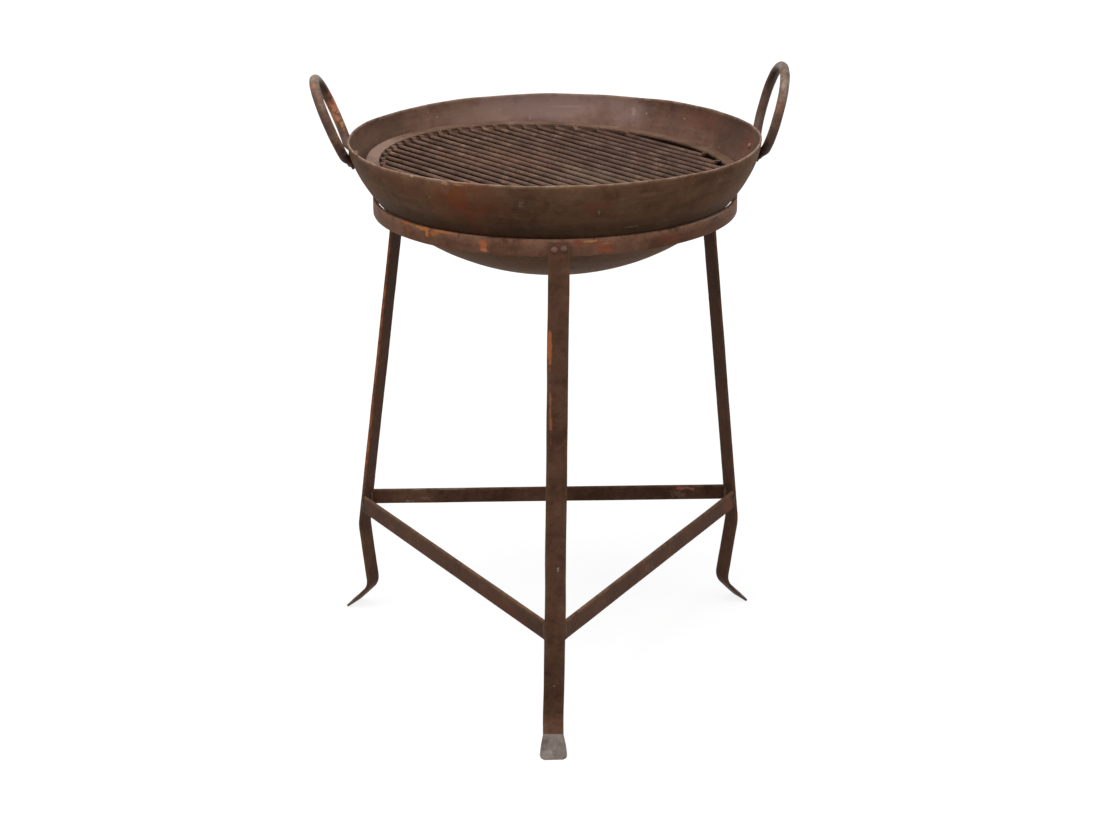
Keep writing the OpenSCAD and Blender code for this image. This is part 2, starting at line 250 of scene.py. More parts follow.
    @staticmethod
    def copy(thing: bpy.types.Object, name: str, place: Matrix) -> bpy.types.Object:
        """Copies a piece with a mesh of its own, moved to its place."""
        twin = thing.copy()
        twin.data = thing.data.copy()
        twin.name = name
        twin.data.name = name
        twin.data.transform(place)
        bpy.context.scene.collection.objects.link(twin)
        return twin

    @staticmethod
    def join(name: str, things: Sequence[bpy.types.Object]) -> bpy.types.Object:
        """Joins several objects into the first, under a new name."""
        Bench.take(things[0])
        for thing in things[1:]:
            thing.select_set(True)
        bpy.ops.object.join()
        whole = Bench.named(name)
        Bench.clear()
        return whole

    @staticmethod
    def blob(name: str, size: Vector, seed: float, rough: float) -> bpy.types.Object:
        """Melts a small lump of metal, such as a bead of weld.

        Args:
            name: The lump's name.
            size: Half sizes along X, Y and Z, in metres.
            seed: Number that tells one lump from another.
            rough: How uneven it is, as a share of its size.

        Returns:
            The lump about the origin.
        """
        Bench.clear()
        bpy.ops.mesh.primitive_uv_sphere_add(segments=14, ring_count=8, radius=1.0)
        thing = Bench.named(name)
        Bench.shape(
            thing,
            lambda p: Vector((p.x * size.x, p.y * size.y, p.z * size.z))
            * (1.0 + rough * ripple(p, 0.8, seed)),
        )
        return thing


class Way:
    """A path through space that a bar is bent along."""

    def __init__(self, points: Sequence[Vector], faces: Sequence[Vector]) -> None:
        """Measures a path.

        Args:
            points: Places along the path, in metres.
            faces: At each place, the direction of the bar's own Z.
        """
        self.points = list(points)
        self.faces = list(faces)
        self.marks = [0.0]
        for before, after in zip(self.points, self.points[1:]):
            self.marks.append(self.marks[-1] + (after - before).length)
        self.length = self.marks[-1]
        last = len(self.points) - 1
        self.runs = [
            (self.points[min(i + 1, last)] - self.points[max(i - 1, 0)]).normalized()
            for i in range(last + 1)
        ]

    def at(self, distance: float) -> tuple[Vector, Vector, Vector, Vector]:
        """Reads the path at a distance from its start.

        Args:
            distance: Length along the path, in metres.

        Returns:
            The place, the direction across, the direction along and the bar's face.
        """
        distance = min(self.length, max(0.0, distance))
        i = 0
        while i < len(self.marks) - 2 and self.marks[i + 1] < distance:
            i += 1
        share = (distance - self.marks[i]) / max(1e-9, self.marks[i + 1] - self.marks[i])
        place = self.points[i].lerp(self.points[i + 1], share)
        run = self.runs[i].lerp(self.runs[i + 1], share).normalized()
        face = self.faces[i].lerp(self.faces[i + 1], share)
        face = (face - run * face.dot(run)).normalized()
        return place, run.cross(face), run, face

    def bend(self, thing: bpy.types.Object) -> None:
        """Bends a straight bar, drawn along Y from 0, along the path."""

        def move(p: Vector) -> Vector:
            place, across, run, face = self.at(p.y)
            over = p.y - min(self.length, max(0.0, p.y))
            return place + across * p.x + face * p.z + run * over

        Bench.shape(thing, move)


def rounded(corners: Sequence[Vector], radii: Sequence[float], steps: int) -> list[Vector]:
    """Eases the inner corners of a path into arcs.

    Args:
        corners: The path's corners.
        radii: A radius for each corner but the first and last.
        steps: Stretches in each arc.

    Returns:
        The eased path's points.
    """
    path = [corners[0]]
    for before, corner, after, radius in zip(corners, corners[1:], corners[2:], radii):
        u = (before - corner).normalized()
        v = (after - corner).normalized()
        half = u.angle(v) / 2
        middle = corner + (u + v).normalized() * (radius / math.sin(half))
        first = corner + u * (radius / math.tan(half)) - middle
        last = corner + v * (radius / math.tan(half)) - middle
        for i in range(steps + 1):
            path.append(middle + first.normalized().slerp(last.normalized(), i / steps) * radius)
    path.append(corners[-1])
    return path


def evenly(points: Sequence[Vector], step: float) -> list[Vector]:
    """Adds points to a path so that none of its stretches is longer than a step."""
    path = [points[0]]
    for before, after in zip(points, points[1:]):
        parts = max(1, math.ceil((after - before).length / step))
        path.extend(before.lerp(after, i / parts) for i in range(1, parts + 1))
    return path


def linear(code: str) -> tuple[float, float, float, float]:
    """Turns a colour written as six hex digits into the values that a shader takes."""
    parts = [int(code[i:i + 2], 16) / 255 for i in (0, 2, 4)]
    values = [c / 12.92 if c <= 0.04045 else ((c + 0.055) / 1.055) ** 2.4 for c in parts]
    return values[0], values[1], values[2], 1.0


class Finish(Enum):
    """The finishes of the fire bowl's metal."""

    BOWL = "bowl_sheet"
    STAND = "stand_bar"
    STAND_RIVET = "stand_rivet"
    HANDLE = "handle_bar"
    HANDLE_RIVET = "handle_rivet"
    PLATE = "grate_plate"
    ROD = "grate_rod"


class Sheet:
    """A sheet of shader nodes, with short ways to add and join them."""

    def __init__(self, tree: bpy.types.NodeTree) -> None:
        """Starts on a node tree."""
        self.tree = tree

    def add(self, kind: str, **settings: object) -> bpy.types.Node:
        """Adds a node of a kind, with its settings."""
        node = self.tree.nodes.new(kind)
        for key, value in settings.items():
            setattr(node, key, value)
        return node

    def join(self, source: bpy.types.NodeSocket, target: bpy.types.NodeSocket) -> None:
        """Joins two sockets."""
        self.tree.links.new(source, target)

    def feed(self, socket: bpy.types.NodeSocket, value: object) -> None:
        """Joins a socket to a socket, or sets it to a plain value."""
        if isinstance(value, bpy.types.NodeSocket):
            self.join(value, socket)
        else:
            socket.default_value = value

    def math(self, operation: str, *values: object) -> bpy.types.NodeSocket:
        """Adds a sum of numbers, each a socket or a value."""
        node = self.add("ShaderNodeMath", operation=operation)
        for socket, value in zip(node.inputs, values):
            self.feed(socket, value)
        return node.outputs[0]

    def blend(self, share: object, low: object, high: object, way: str = "MIX") -> bpy.types.NodeSocket:
        """Mixes two colours, each a socket or a value."""
        node = self.add("ShaderNodeMix", data_type="RGBA", blend_type=way)
        self.feed(node.inputs[0], share)
        self.feed(node.inputs[6], low)
        self.feed(node.inputs[7], high)
        return node.outputs[2]

    def band(self, value: object, low: float, high: float) -> bpy.types.NodeSocket:
        """Turns a number into a smooth share, 0 at low and 1 at high."""
        node = self.add("ShaderNodeMapRange", interpolation_type="SMOOTHSTEP")
        self.feed(node.inputs["Value"], value)
        node.inputs["From Min"].default_value = low
        node.inputs["From Max"].default_value = high
        return node.outputs["Result"]

    def noise(self, place: object, scale: object, detail: float, rough: float = 0.55) -> bpy.types.NodeSocket:
        """Adds a noise of a scale, in swellings to the metre."""
        node = self.add("ShaderNodeTexNoise")
        self.feed(node.inputs["Vector"], place)
        self.feed(node.inputs["Scale"], scale)
        node.inputs["Detail"].default_value = detail
        node.inputs["Roughness"].default_value = rough
        return node.outputs["Fac"]


class Patina:
    """Shared node groups of old fired steel, each built once."""

    def __init__(self) -> None:
        """Starts with no group built."""
        self.groups: dict[str, bpy.types.NodeTree] = {}

    def group(
        self, name: str, inputs: Sequence[tuple[str, str, object]], outputs: Sequence[tuple[str, str]]
    ) -> tuple[Sheet, bpy.types.Node, bpy.types.Node]:
        """Starts a group with its sockets.

        Args:
            name: The group's name.
            inputs: Name, socket type and value of each input.
            outputs: Name and socket type of each output.

        Returns:
            The sheet to draw on, and the group's input and output nodes.
        """
        tree = bpy.data.node_groups.new(name, "ShaderNodeTree")
        for label, kind, value in inputs:
            socket = tree.interface.new_socket(name=label, in_out="INPUT", socket_type=kind)
            if value is not None:
                socket.default_value = value
        for label, kind in outputs:
            tree.interface.new_socket(name=label, in_out="OUTPUT", socket_type=kind)
        sheet = Sheet(tree)
        self.groups[name] = tree
        return sheet, sheet.add("NodeGroupInput"), sheet.add("NodeGroupOutput")

    def mottle(self) -> bpy.types.NodeTree:
        """Cloudy mix of three tones, as fire and weather leave on steel."""
        if "mottle" in self.groups:
            return self.groups["mottle"]
        sheet, source, result = self.group(
            "mottle",
            [
                ("Place", "NodeSocketVector", None),
                ("Dark", "NodeSocketColor", None),
                ("Middle", "NodeSocketColor", None),
                ("Light", "NodeSocketColor", None),
                ("Scale", "NodeSocketFloat", 12.0),
            ],
            [("Color", "NodeSocketColor"), ("Cloud", "NodeSocketFloat")],
        )
        place = source.outputs["Place"]
        scale = source.outputs["Scale"]
        broad = sheet.noise(place, scale, 4.0, 0.6)
        fine = sheet.noise(place, sheet.math("MULTIPLY", scale, 7.0), 5.0, 0.7)
        cloud = sheet.math("ADD", sheet.math("MULTIPLY", broad, 0.65), sheet.math("MULTIPLY", fine, 0.35))
        dark = sheet.blend(
            sheet.band(cloud, 0.36, 0.52), source.outputs["Dark"], source.outputs["Middle"]
        )
        tone = sheet.blend(sheet.band(cloud, 0.5, 0.66), dark, source.outputs["Light"])
        sheet.join(tone, result.inputs["Color"])
        sheet.join(cloud, result.inputs["Cloud"])
        return self.groups["mottle"]

    def rust(self) -> bpy.types.NodeTree:
        """Ragged rust: where it lies, and its colour from red-brown to orange."""
        if "rust" in self.groups:
            return self.groups["rust"]
        sheet, source, result = self.group(
            "rust",
            [
                ("Place", "NodeSocketVector", None),
                ("Amount", "NodeSocketFloat", 0.2),
                ("Scale", "NodeSocketFloat", 30.0),
                ("Red", "NodeSocketColor", linear("6E3A22")),
                ("Orange", "NodeSocketColor", linear("B5652E")),
            ],
            [("Color", "NodeSocketColor"), ("Mask", "NodeSocketFloat")],
        )
        place = source.outputs["Place"]
        scale = source.outputs["Scale"]
        ragged = sheet.noise(place, scale, 6.0, 0.68)
        grain = sheet.noise(place, sheet.math("MULTIPLY", scale, 6.0), 3.0, 0.7)
        level = sheet.math("ADD", ragged, sheet.math("MULTIPLY", grain, 0.25))
        level = sheet.math("ADD", level, sheet.math("SUBTRACT", source.outputs["Amount"], 0.5))
        sheet.join(sheet.band(level, 0.62, 0.74), result.inputs["Mask"])
        colour = sheet.blend(sheet.band(level, 0.66, 0.95), source.outputs["Red"], source.outputs["Orange"])
        sheet.join(colour, result.inputs["Color"])
        return self.groups["rust"]

    def spot(self) -> bpy.types.NodeTree:
        """A ragged patch about a place: 1 in its middle, 0 beyond its reach."""
        if "spot" in self.groups:
            return self.groups["spot"]
        sheet, source, result = self.group(
            "spot",
            [
                ("Place", "NodeSocketVector", None),
                ("Middle", "NodeSocketVector", None),
                ("Reach", "NodeSocketVector", None),
                ("Grain", "NodeSocketFloat", 55.0),
                ("Soft", "NodeSocketFloat", 0.5),
            ],
            [("Mask", "NodeSocketFloat")],
        )
        offset = sheet.add("ShaderNodeVectorMath", operation="SUBTRACT")
        sheet.join(source.outputs["Place"], offset.inputs[0])
        sheet.join(source.outputs["Middle"], offset.inputs[1])
        scaled = sheet.add("ShaderNodeVectorMath", operation="DIVIDE")
        sheet.join(offset.outputs[0], scaled.inputs[0])
        sheet.join(source.outputs["Reach"], scaled.inputs[1])
        length = sheet.add("ShaderNodeVectorMath", operation="LENGTH")
        sheet.join(scaled.outputs[0], length.inputs[0])
        ragged = sheet.noise(source.outputs["Place"], source.outputs["Grain"], 6.0, 0.72)
        edge = sheet.math("ADD", length.outputs["Value"], sheet.math("MULTIPLY", ragged, 4.0))
        inward = sheet.math("DIVIDE", sheet.math("SUBTRACT", 2.75, edge), source.outputs["Soft"])
        share = sheet.add("ShaderNodeMath", operation="ADD", use_clamp=True)
        sheet.join(inward, share.inputs[0])
        share.inputs[1].default_value = 0.5
        sheet.join(share.outputs[0], result.inputs["Mask"])
        return self.groups["spot"]

    def flecks(self) -> bpy.types.NodeTree:
        """Small bright grains, where scale has flaked off or dust lies."""
        if "flecks" in self.groups:
            return self.groups["flecks"]
        sheet, source, result = self.group(
            "flecks",
            [
                ("Place", "NodeSocketVector", None),
                ("Scale", "NodeSocketFloat", 220.0),
                ("Amount", "NodeSocketFloat", 0.1),
            ],
            [("Mask", "NodeSocketFloat")],
        )
        grain = sheet.noise(source.outputs["Place"], source.outputs["Scale"], 3.0, 0.6)
        level = sheet.math("ADD", grain, source.outputs["Amount"])
        sheet.join(sheet.band(level, 0.70, 0.80), result.inputs["Mask"])
        return self.groups["flecks"]

    def streaks(self) -> bpy.types.NodeTree:
        """Long level streaks, as a hammer and a cloth leave round a turned sheet."""
        if "streaks" in self.groups:
            return self.groups["streaks"]
        sheet, source, result = self.group(
            "streaks",
            [("Place", "NodeSocketVector", None), ("Scale", "NodeSocketFloat", 9.0)],
            [("Mask", "NodeSocketFloat")],
        )
        drawn = sheet.add("ShaderNodeVectorMath", operation="MULTIPLY")
        sheet.join(source.outputs["Place"], drawn.inputs[0])
        drawn.inputs[1].default_value = (1.0, 1.0, 9.0)
        lines = sheet.noise(drawn.outputs[0], source.outputs["Scale"], 6.0, 0.62)
        sheet.join(sheet.band(lines, 0.42, 0.68), result.inputs["Mask"])
        return self.groups["streaks"]


@dataclass(frozen=True)
class Spot:
    """A patch of another colour at a place on the object.

    Its middle is measured from the ring's axis on the floor, and both middle and reach are in millimetres.
    """

    middle: tuple[float, float, float]
    reach: tuple[float, float, float]
    colour: str
    strength: float = 1.0
    soft: float = 0.5


@dataclass(frozen=True)
class Tones:
    """A surface's tones from dark to light, and how much it shines."""

    dark: str
    middle: str
    light: str
    shine: float = 0.12


@dataclass(frozen=True)
class Steel:
    """Old fired steel: its tones, soot with painted shade, painted toe highlight, rust, wear, grains and roughness.
    """

    name: str
    outer: Tones
    inner: Tones | None = None
    scale: float = 14.0
    # Colour of soot with painted shade, laid where the mesh's mark of the same name says
    soot_and_shade: str = ""
    # Pale grey tones for the toes' outer faces: a painted highlight
    toe: Tones | None = None
    streaks: float = 0.0
    rust_amount: float = 0.1
    rust_scale: float = 28.0
    rust_tones: tuple[str, str] = ("6E3A22", "B5652E")
    edge_rust: float = 0.0
    edge_tone: str = "8A6A52"
    flecks: float = 0.0
    fleck_scale: float = 220.0
    fleck_tone: str = "B39C8A"
    roughness: tuple[float, float] = (0.48, 0.72)
    bump: float = 0.25
    spots: tuple[Spot, ...] = ()

    def cloud(
        self, sheet: Sheet, patina: Patina, place: bpy.types.NodeSocket, tones: Tones, scale: float = 0.0
    ) -> bpy.types.Node:
        """Adds the cloudy ground of one surface."""
        mottle = sheet.add("ShaderNodeGroup", node_tree=patina.mottle())
        sheet.join(place, mottle.inputs["Place"])
        mottle.inputs["Dark"].default_value = linear(tones.dark)
        mottle.inputs["Middle"].default_value = linear(tones.middle)
        mottle.inputs["Light"].default_value = linear(tones.light)
        mottle.inputs["Scale"].default_value = scale or self.scale
        return mottle

    def build(self, patina: Patina, centre: Vector) -> bpy.types.Material:
        """Builds the material.

        Args:
            patina: The shared node groups.
            centre: The ring's axis on the floor, from which the spots are measured.

        Returns:
            The finished material.
        """
        material = bpy.data.materials.new(self.name)
        material.use_nodes = True
        sheet = Sheet(material.node_tree)
        shader = material.node_tree.nodes["Principled BSDF"]
        place = sheet.add("ShaderNodeTexCoord").outputs["Object"]

        mottle = self.cloud(sheet, patina, place, self.outer)
        colour = mottle.outputs["Color"]
        shine: object = self.outer.shine
        if self.inner:
            inside = sheet.add("ShaderNodeAttribute", attribute_name="inside").outputs["Fac"]
            other = self.cloud(sheet, patina, place, self.inner)
            colour = sheet.blend(inside, colour, other.outputs["Color"])
            more = sheet.math("MULTIPLY", inside, self.inner.shine - self.outer.shine)
            shine = sheet.math("ADD", more, self.outer.shine)
        # Soot with painted shade: darkens a band on the bowl just above the ring, the bowl's hollow under the
        # grate, and the rods' lower sides so that only their crests look lit
        if self.soot_and_shade:
            band = sheet.add("ShaderNodeAttribute", attribute_name="soot_and_shade").outputs["Fac"]
            colour = sheet.blend(band, colour, linear(self.soot_and_shade))
        if self.streaks:
            lines = sheet.add("ShaderNodeGroup", node_tree=patina.streaks())
            sheet.join(place, lines.inputs["Place"])
            share = sheet.math("MULTIPLY", lines.outputs["Mask"], self.streaks)
            if self.soot_and_shade:
                share = sheet.math("MULTIPLY", share, sheet.math("MULTIPLY_ADD", band, -0.7, 1.0))
            colour = sheet.blend(share, colour, linear(self.edge_tone))

        rust = sheet.add("ShaderNodeGroup", node_tree=patina.rust())
        sheet.join(place, rust.inputs["Place"])
        rust.inputs["Scale"].default_value = self.rust_scale
        rust.inputs["Red"].default_value = linear(self.rust_tones[0])
        rust.inputs["Orange"].default_value = linear(self.rust_tones[1])
        amount: object = self.rust_amount
        if self.edge_rust:
            edge = sheet.add("ShaderNodeAttribute", attribute_name="edge_wear").outputs["Fac"]
            amount = sheet.math("ADD", self.rust_amount, sheet.math("MULTIPLY", edge, self.edge_rust))
            broken = sheet.band(sheet.noise(place, 60.0, 4.0, 0.6), 0.3, 0.62)
            share = sheet.math("MULTIPLY", sheet.math("MULTIPLY", edge, broken), 0.7)
            colour = sheet.blend(share, colour, linear(self.edge_tone))
        sheet.feed(rust.inputs["Amount"], amount)
        colour = sheet.blend(rust.outputs["Mask"], colour, rust.outputs["Color"])

        # Painted highlight: the toes' outer faces below the bend take pale grey tones, standing in for the studio's
        # reflection on the turned-up toe
        if self.toe:
            below = sheet.add("ShaderNodeAttribute", attribute_name="toe").outputs["Fac"]
            ground = self.cloud(sheet, patina, place, self.toe, 70.0)
            colour = sheet.blend(sheet.band(below, -0.3, 0.3), colour, ground.outputs["Color"])
        for spot in self.spots:
            node = sheet.add("ShaderNodeGroup", node_tree=patina.spot())
            sheet.join(place, node.inputs["Place"])
            node.inputs["Middle"].default_value = centre + Vector(spot.middle) * MM
            node.inputs["Reach"].default_value = Vector(spot.reach) * MM
            node.inputs["Grain"].default_value = 2200.0 / max(spot.reach)
            node.inputs["Soft"].default_value = spot.soft
            share = sheet.math("MULTIPLY", node.outputs["Mask"], spot.strength)
            colour = sheet.blend(share, colour, linear(spot.colour))
        if self.flecks:
            grains = sheet.add("ShaderNodeGroup", node_tree=patina.flecks())
            sheet.join(place, grains.inputs["Place"])
            grains.inputs["Scale"].default_value = self.fleck_scale
            grains.inputs["Amount"].default_value = self.flecks
            colour = sheet.blend(grains.outputs["Mask"], colour, linear(self.fleck_tone))
        sheet.join(colour, shader.inputs["Base Color"])

        low, high = self.roughness
        rough = sheet.add("ShaderNodeMapRange")
        sheet.join(mottle.outputs["Cloud"], rough.inputs["Value"])
        rough.inputs["From Min"].default_value = 0.3
        rough.inputs["From Max"].default_value = 0.7
        rough.inputs["To Min"].default_value = low
        rough.inputs["To Max"].default_value = high
        crust = sheet.math("MAXIMUM", rough.outputs["Result"], sheet.math("MULTIPLY", rust.outputs["Mask"], 0.88))
        sheet.join(crust, shader.inputs["Roughness"])

        grain = sheet.noise(place, 420.0, 5.0, 0.62)
        scale = sheet.noise(place, 90.0, 4.0, 0.6)
        height = sheet.math("ADD", sheet.math("MULTIPLY", grain, 0.35), scale)
        height = sheet.math("ADD", height, sheet.math("MULTIPLY", rust.outputs["Mask"], 0.5))
        bump = sheet.add("ShaderNodeBump")
        bump.inputs["Strength"].default_value = self.bump
        bump.inputs["Distance"].default_value = 0.0008
        sheet.join(height, bump.inputs["Height"])
        sheet.join(bump.outputs["Normal"], shader.inputs["Normal"])
        shader.inputs["Metallic"].default_value = 0.0
        sheet.feed(shader.inputs["Specular IOR Level"], shine)
        return material


def dress(
    thing: bpy.types.Object,
    body: str,
    finish: Finish,
    material: bpy.types.Material,
    nodes: Sequence[str] = (),
) -> bpy.types.Object:
    """Gives a piece its material and its place in the frame's bodies.

    Args:
        thing: The piece.
        body: The body that it rides on.
        finish: Its finish, from the Finish list; not used.
        material: Its material.
        nodes: The frame's nodes that it stands for.

    Returns:
        The piece.
    """
    thing.data.materials.clear()
    thing.data.materials.append(material)
    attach(thing, body)
    if nodes:
        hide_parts(*nodes)
    LOG.info("%s rides on %s, %d faces", thing.name, body, len(thing.data.polygons))
    return thing


@dataclass
class FireBowl:
    """The hammered sheet bowl."""

    centre: Vector
    rim_r: float = 0.300
    rim_z: float = 0.81669
    depth: float = 0.192
    sheet: float = 0.003
    wall_pull: float = 0.066
    rim_lean: float = 3.6
    base_pull: float = 0.191
    steps: int = 58
    round_steps: int = 288
    table: list[tuple[float, float]] = field(default_factory=list)

    def curve(self, share: float) -> tuple[Vector, Vector]:
        """Reads the outer wall's curve.

        Args:
            share: 0 at the rim, 1 at the middle of the bottom.

        Returns:
            The point of radius and height, and the direction into the sheet.
        """
        lean = math.radians(self.rim_lean)
        bottom = self.rim_z - self.depth
        a = Vector((self.rim_r, self.rim_z))
        b = Vector((self.rim_r - self.wall_pull * math.sin(lean), self.rim_z - self.wall_pull * math.cos(lean)))
        c = Vector((self.base_pull, bottom))
        d = Vector((0.0, bottom))
        t, s = share, 1.0 - share
        point = a * s ** 3 + b * 3 * s * s * t + c * 3 * s * t * t + d * t ** 3
        run = (b - a) * 3 * s * s + (c - b) * 6 * s * t + (d - c) * 3 * t * t
        return point, Vector((run.y, -run.x)).normalized()

    def wall_r(self, z: float) -> float:
        """Radius of the outer wall at a height."""
        if not self.table:
            self.table = [tuple(self.curve(1.0 - i / 400)[0])[::-1] for i in range(401)]
        i = min(max(bisect.bisect(self.table, (z, 0.0)), 1), len(self.table) - 1)
        (z0, r0), (z1, r1) = self.table[i - 1], self.table[i]
        share = min(1.0, max(0.0, (z - z0) / (z1 - z0)))
        return r0 + (r1 - r0) * share

    def wall_lean(self, z: float) -> float:
        """Lean of the outer wall from upright at a height, in radians."""
        return math.atan((self.wall_r(z + 0.003) - self.wall_r(z - 0.003)) / 0.006)

    def outline(self) -> list[tuple[float, float]]:
        """Outline of the sheet's section, from the middle of the bottom out, over the rim and back."""
        outer = []
        inner = []
        for i in range(self.steps + 1):
            point, into = self.curve(1.0 - i / self.steps)
            outer.append(point)
            inner.append(point + into * self.sheet)
        rim, into = self.curve(0.0)
        middle = rim + into * self.sheet / 2
        up = Vector((-into.y, into.x))
        if up.y < 0:
            up.negate()
        lip = []
        for i in range(1, 6):
            angle = math.pi * i / 6
            away = -into * math.cos(angle) + up * math.sin(angle) * 0.6
            lip.append(middle + away * self.sheet / 2)
        points = outer + lip + list(reversed(inner))
        points[0].x = 0.0
        points[-1].x = 0.0
        return [(p.x, p.y) for p in points]

    def hammer(self, point: Vector) -> Vector:
        """Moves a point of the sheet as the hammer and the years have."""
        flat = Vector((point.x, point.y, 0.0))
        if flat.length < 0.004:
            return point
        out = flat.normalized()
        heart = Vector((0.0, 0.0, self.rim_z + 0.05))
        ray = (point - heart).normalized() * 0.3
        near_rim = smooth(self.rim_z - 0.1, self.rim_z, point.z)
        seat = 1.0 - smooth(0.0, 0.016, 0.028 - abs(point.z - 0.735)) * 0.8
        dent = ripple(ray, 0.045, 1.0) * 0.0005 + ripple(ray, 0.018, 2.0) * 0.00016
        wave = ripple(out * 0.3, 0.16, 3.0) * 0.0022 * near_rim
        lift = (ripple(out * 0.3, 0.14, 4.0) * 0.0022 + ripple(out * 0.3, 0.04, 5.0) * 0.0006) * near_rim
        push = dent * seat + wave
        return point + out * push + UP * lift

    def soot_and_shade_share(self, point: Vector) -> float:
        """How much soot and painted shade the sheet has: a band just above the ring, soot with painted shade next
        to the ring, and all that lies under the grate, soot with painted shade in the hollow under it.
        """
        if point.xy.length > self.wall_r(point.z) - 0.001:
            return 0.6 * smooth(0.772, 0.744, point.z) * smooth(0.712, 0.73, point.z)
        return smooth(0.768, 0.752, point.z)

    def build(self, material: bpy.types.Material) -> None:
        """Turns, hammers and dresses the bowl."""
        thing = Bench.turned("bowl_hammered", self.outline(), self.round_steps)
        Bench.mark(thing, "inside", lambda p: smooth(0.0004, 0.002, self.wall_r(p.z) - p.xy.length))
        Bench.mark(thing, "edge_wear", lambda p: smooth(self.rim_z - 0.0035, self.rim_z - 0.0008, p.z))
        # Marks where soot and painted shade darken the sheet
        Bench.mark(thing, "soot_and_shade", self.soot_and_shade_share)
        Bench.shape(thing, self.hammer)
        thing.data.transform(Matrix.Translation(self.centre))
        Bench.tidy(thing, 1e-5, 50.0)
        dress(thing, "bowl", Finish.BOWL, material, ["bowl"])


@dataclass
class Stand:
    """The ring, its three bent legs, the braces between them and the ring's rivets."""

    centre: Vector
    ring_r: float = 0.2662
    bar_t: float = 0.005
    ring_h: float = 0.024
    ring_top: float = 0.7353
    leg_w: float = 0.0295
    leg_gap: float = 0.00005
    end_drop: float = 0.004
    knee: tuple[float, float] = (0.3425, 0.148)
    ankle: tuple[float, float] = (0.3265, 0.042)
    toe_reach: float = 0.368
    toe_flare: float = 0.005
    toe_round: float = 0.005
    toe_line: float = 0.0255
    radii: tuple[float, float, float] = (0.080, 0.060, 0.026)
    lean: float = 0.014
    rivet_pitch: float = 0.0125
    angles: dict[str, float] = field(default_factory=lambda: {"front": 270.0, "left": 150.0, "right": 30.0})
    rusty: dict[str, tuple[float, float]] = field(
        default_factory=lambda: {"front": (0.0, 0.0), "left": (-1.0, 0.19), "right": (1.0, 0.62)}
    )

    @property
    def pivot_z(self) -> float:
        """Height of the ring's rivets."""
        return self.ring_top - self.ring_h / 2

    def lean_at(self, z: float, angle: float) -> float:
        """Outward part of the feet's lean at a height of a leg."""
        return -self.lean * math.cos(math.radians(angle)) * (self.pivot_z - z) / self.pivot_z

    def side_angle(self, angle: float) -> float:
        """Sideways turn of a leg about the line through its rivets, in radians."""
        return math.atan(self.lean * math.sin(math.radians(angle)) / self.pivot_z)

    def place(self, angle: float) -> Matrix:
        """Where a leg's own frame lies: X outwards, Y along the ring, Z up."""
        pivot = Matrix.Translation((0, 0, self.pivot_z))
        return (
            Matrix.Translation(self.centre)
            @ Matrix.Rotation(math.radians(angle), 4, "Z")
            @ pivot
            @ Matrix.Rotation(self.side_angle(angle), 4, "X")
            @ pivot.inverted()
        )

    def corners(self, angle: float) -> list[Vector]:
        """Corners of a leg's path in its own frame, from its top end to below the toe."""
        top_r = self.ring_r + self.leg_gap + self.bar_t / 2
        slope = (self.toe_reach - self.ankle[0]) / self.ankle[1]
        below = 0.008
        return [
            Vector((top_r, 0, self.ring_top - self.end_drop)),
            Vector((top_r, 0, self.ring_top - self.ring_h - 0.003)),
            Vector((self.knee[0] + self.lean_at(self.knee[1], angle), 0, self.knee[1])),
            Vector((self.ankle[0] + self.lean_at(self.ankle[1], angle), 0, self.ankle[1])),
            Vector((self.toe_reach + below * slope + self.lean_at(0, angle), 0, -below)),
        ]

    def flare(self, z: float) -> float:
        """How much wider than the bar the toe is at a height."""
        half = self.leg_w / 2
        share = min(1.0, max(0.0, 1.0 - z / self.toe_line))
        wide = half + self.toe_flare * math.sin(share * math.pi / 2)
        low = max(0.0, self.toe_round - max(z, 0.0))
        wide -= self.toe_round - math.sqrt(self.toe_round ** 2 - low ** 2)
        return wide / half

    @staticmethod
    def wear(
        bar: bpy.types.Object, half: float, side: float, share: Callable[[float], float] = lambda y: 0.5
    ) -> None:
        """Marks the worn long edges of a flat bar.

        Args:
            bar: The straight bar.
            half: Half its width.
            side: The side of the bar's X that is worn more.
            share: How much more, at a distance along the bar.
        """
        Bench.mark(
            bar, "edge_wear",
            lambda p: smooth(half - 0.0026, half - 0.0004, abs(p.x))
            * (0.35 + (share(p.y) if p.x * side > 0 else 0.0)),
        )

    def build_leg(self, name: str, angle: float, material: bpy.types.Material) -> None:
        """Forges, bends and dresses one leg."""
        path = evenly(rounded(self.corners(angle), self.radii, 10), 0.012)
        run = Way(path, [Vector((1, 0, 0)) if i == 0 else Vector((1, 0, 0.001)) for i in range(len(path))])
        bar = Bench.flat_bar(
            f"leg_{name}_forged", Vector((self.leg_w, run.length, self.bar_t)), (6, 150), 0.0011
        )
        Bench.shape(bar, lambda p: Vector((p.x, run.length * (1.0 - (1.0 - p.y / run.length) ** 1.8), p.z)))
        side, lowest = self.rusty[name]
        self.wear(bar, self.leg_w / 2, side, lambda y: smooth(lowest, lowest + 0.06, run.at(y)[0].z))

        def hammer(p: Vector) -> Vector:
            z = run.at(p.y)[0].z
            seed = angle / 50.0
            width = self.flare(z) * (1.0 + 0.02 * ripple(Vector((seed, p.y, 0)), 0.045, seed))
            side = 0.0007 * ripple(Vector((p.y, seed, 0)), 0.09, seed + 1)
            thin = 1.0 - 0.25 * smooth(0.02, 0.0, z)
            dent = 0.00018 * ripple(Vector((p.x, p.y, 0)), 0.014, seed + 2)
            return Vector((p.x * width + side, p.y, p.z * thin + dent))

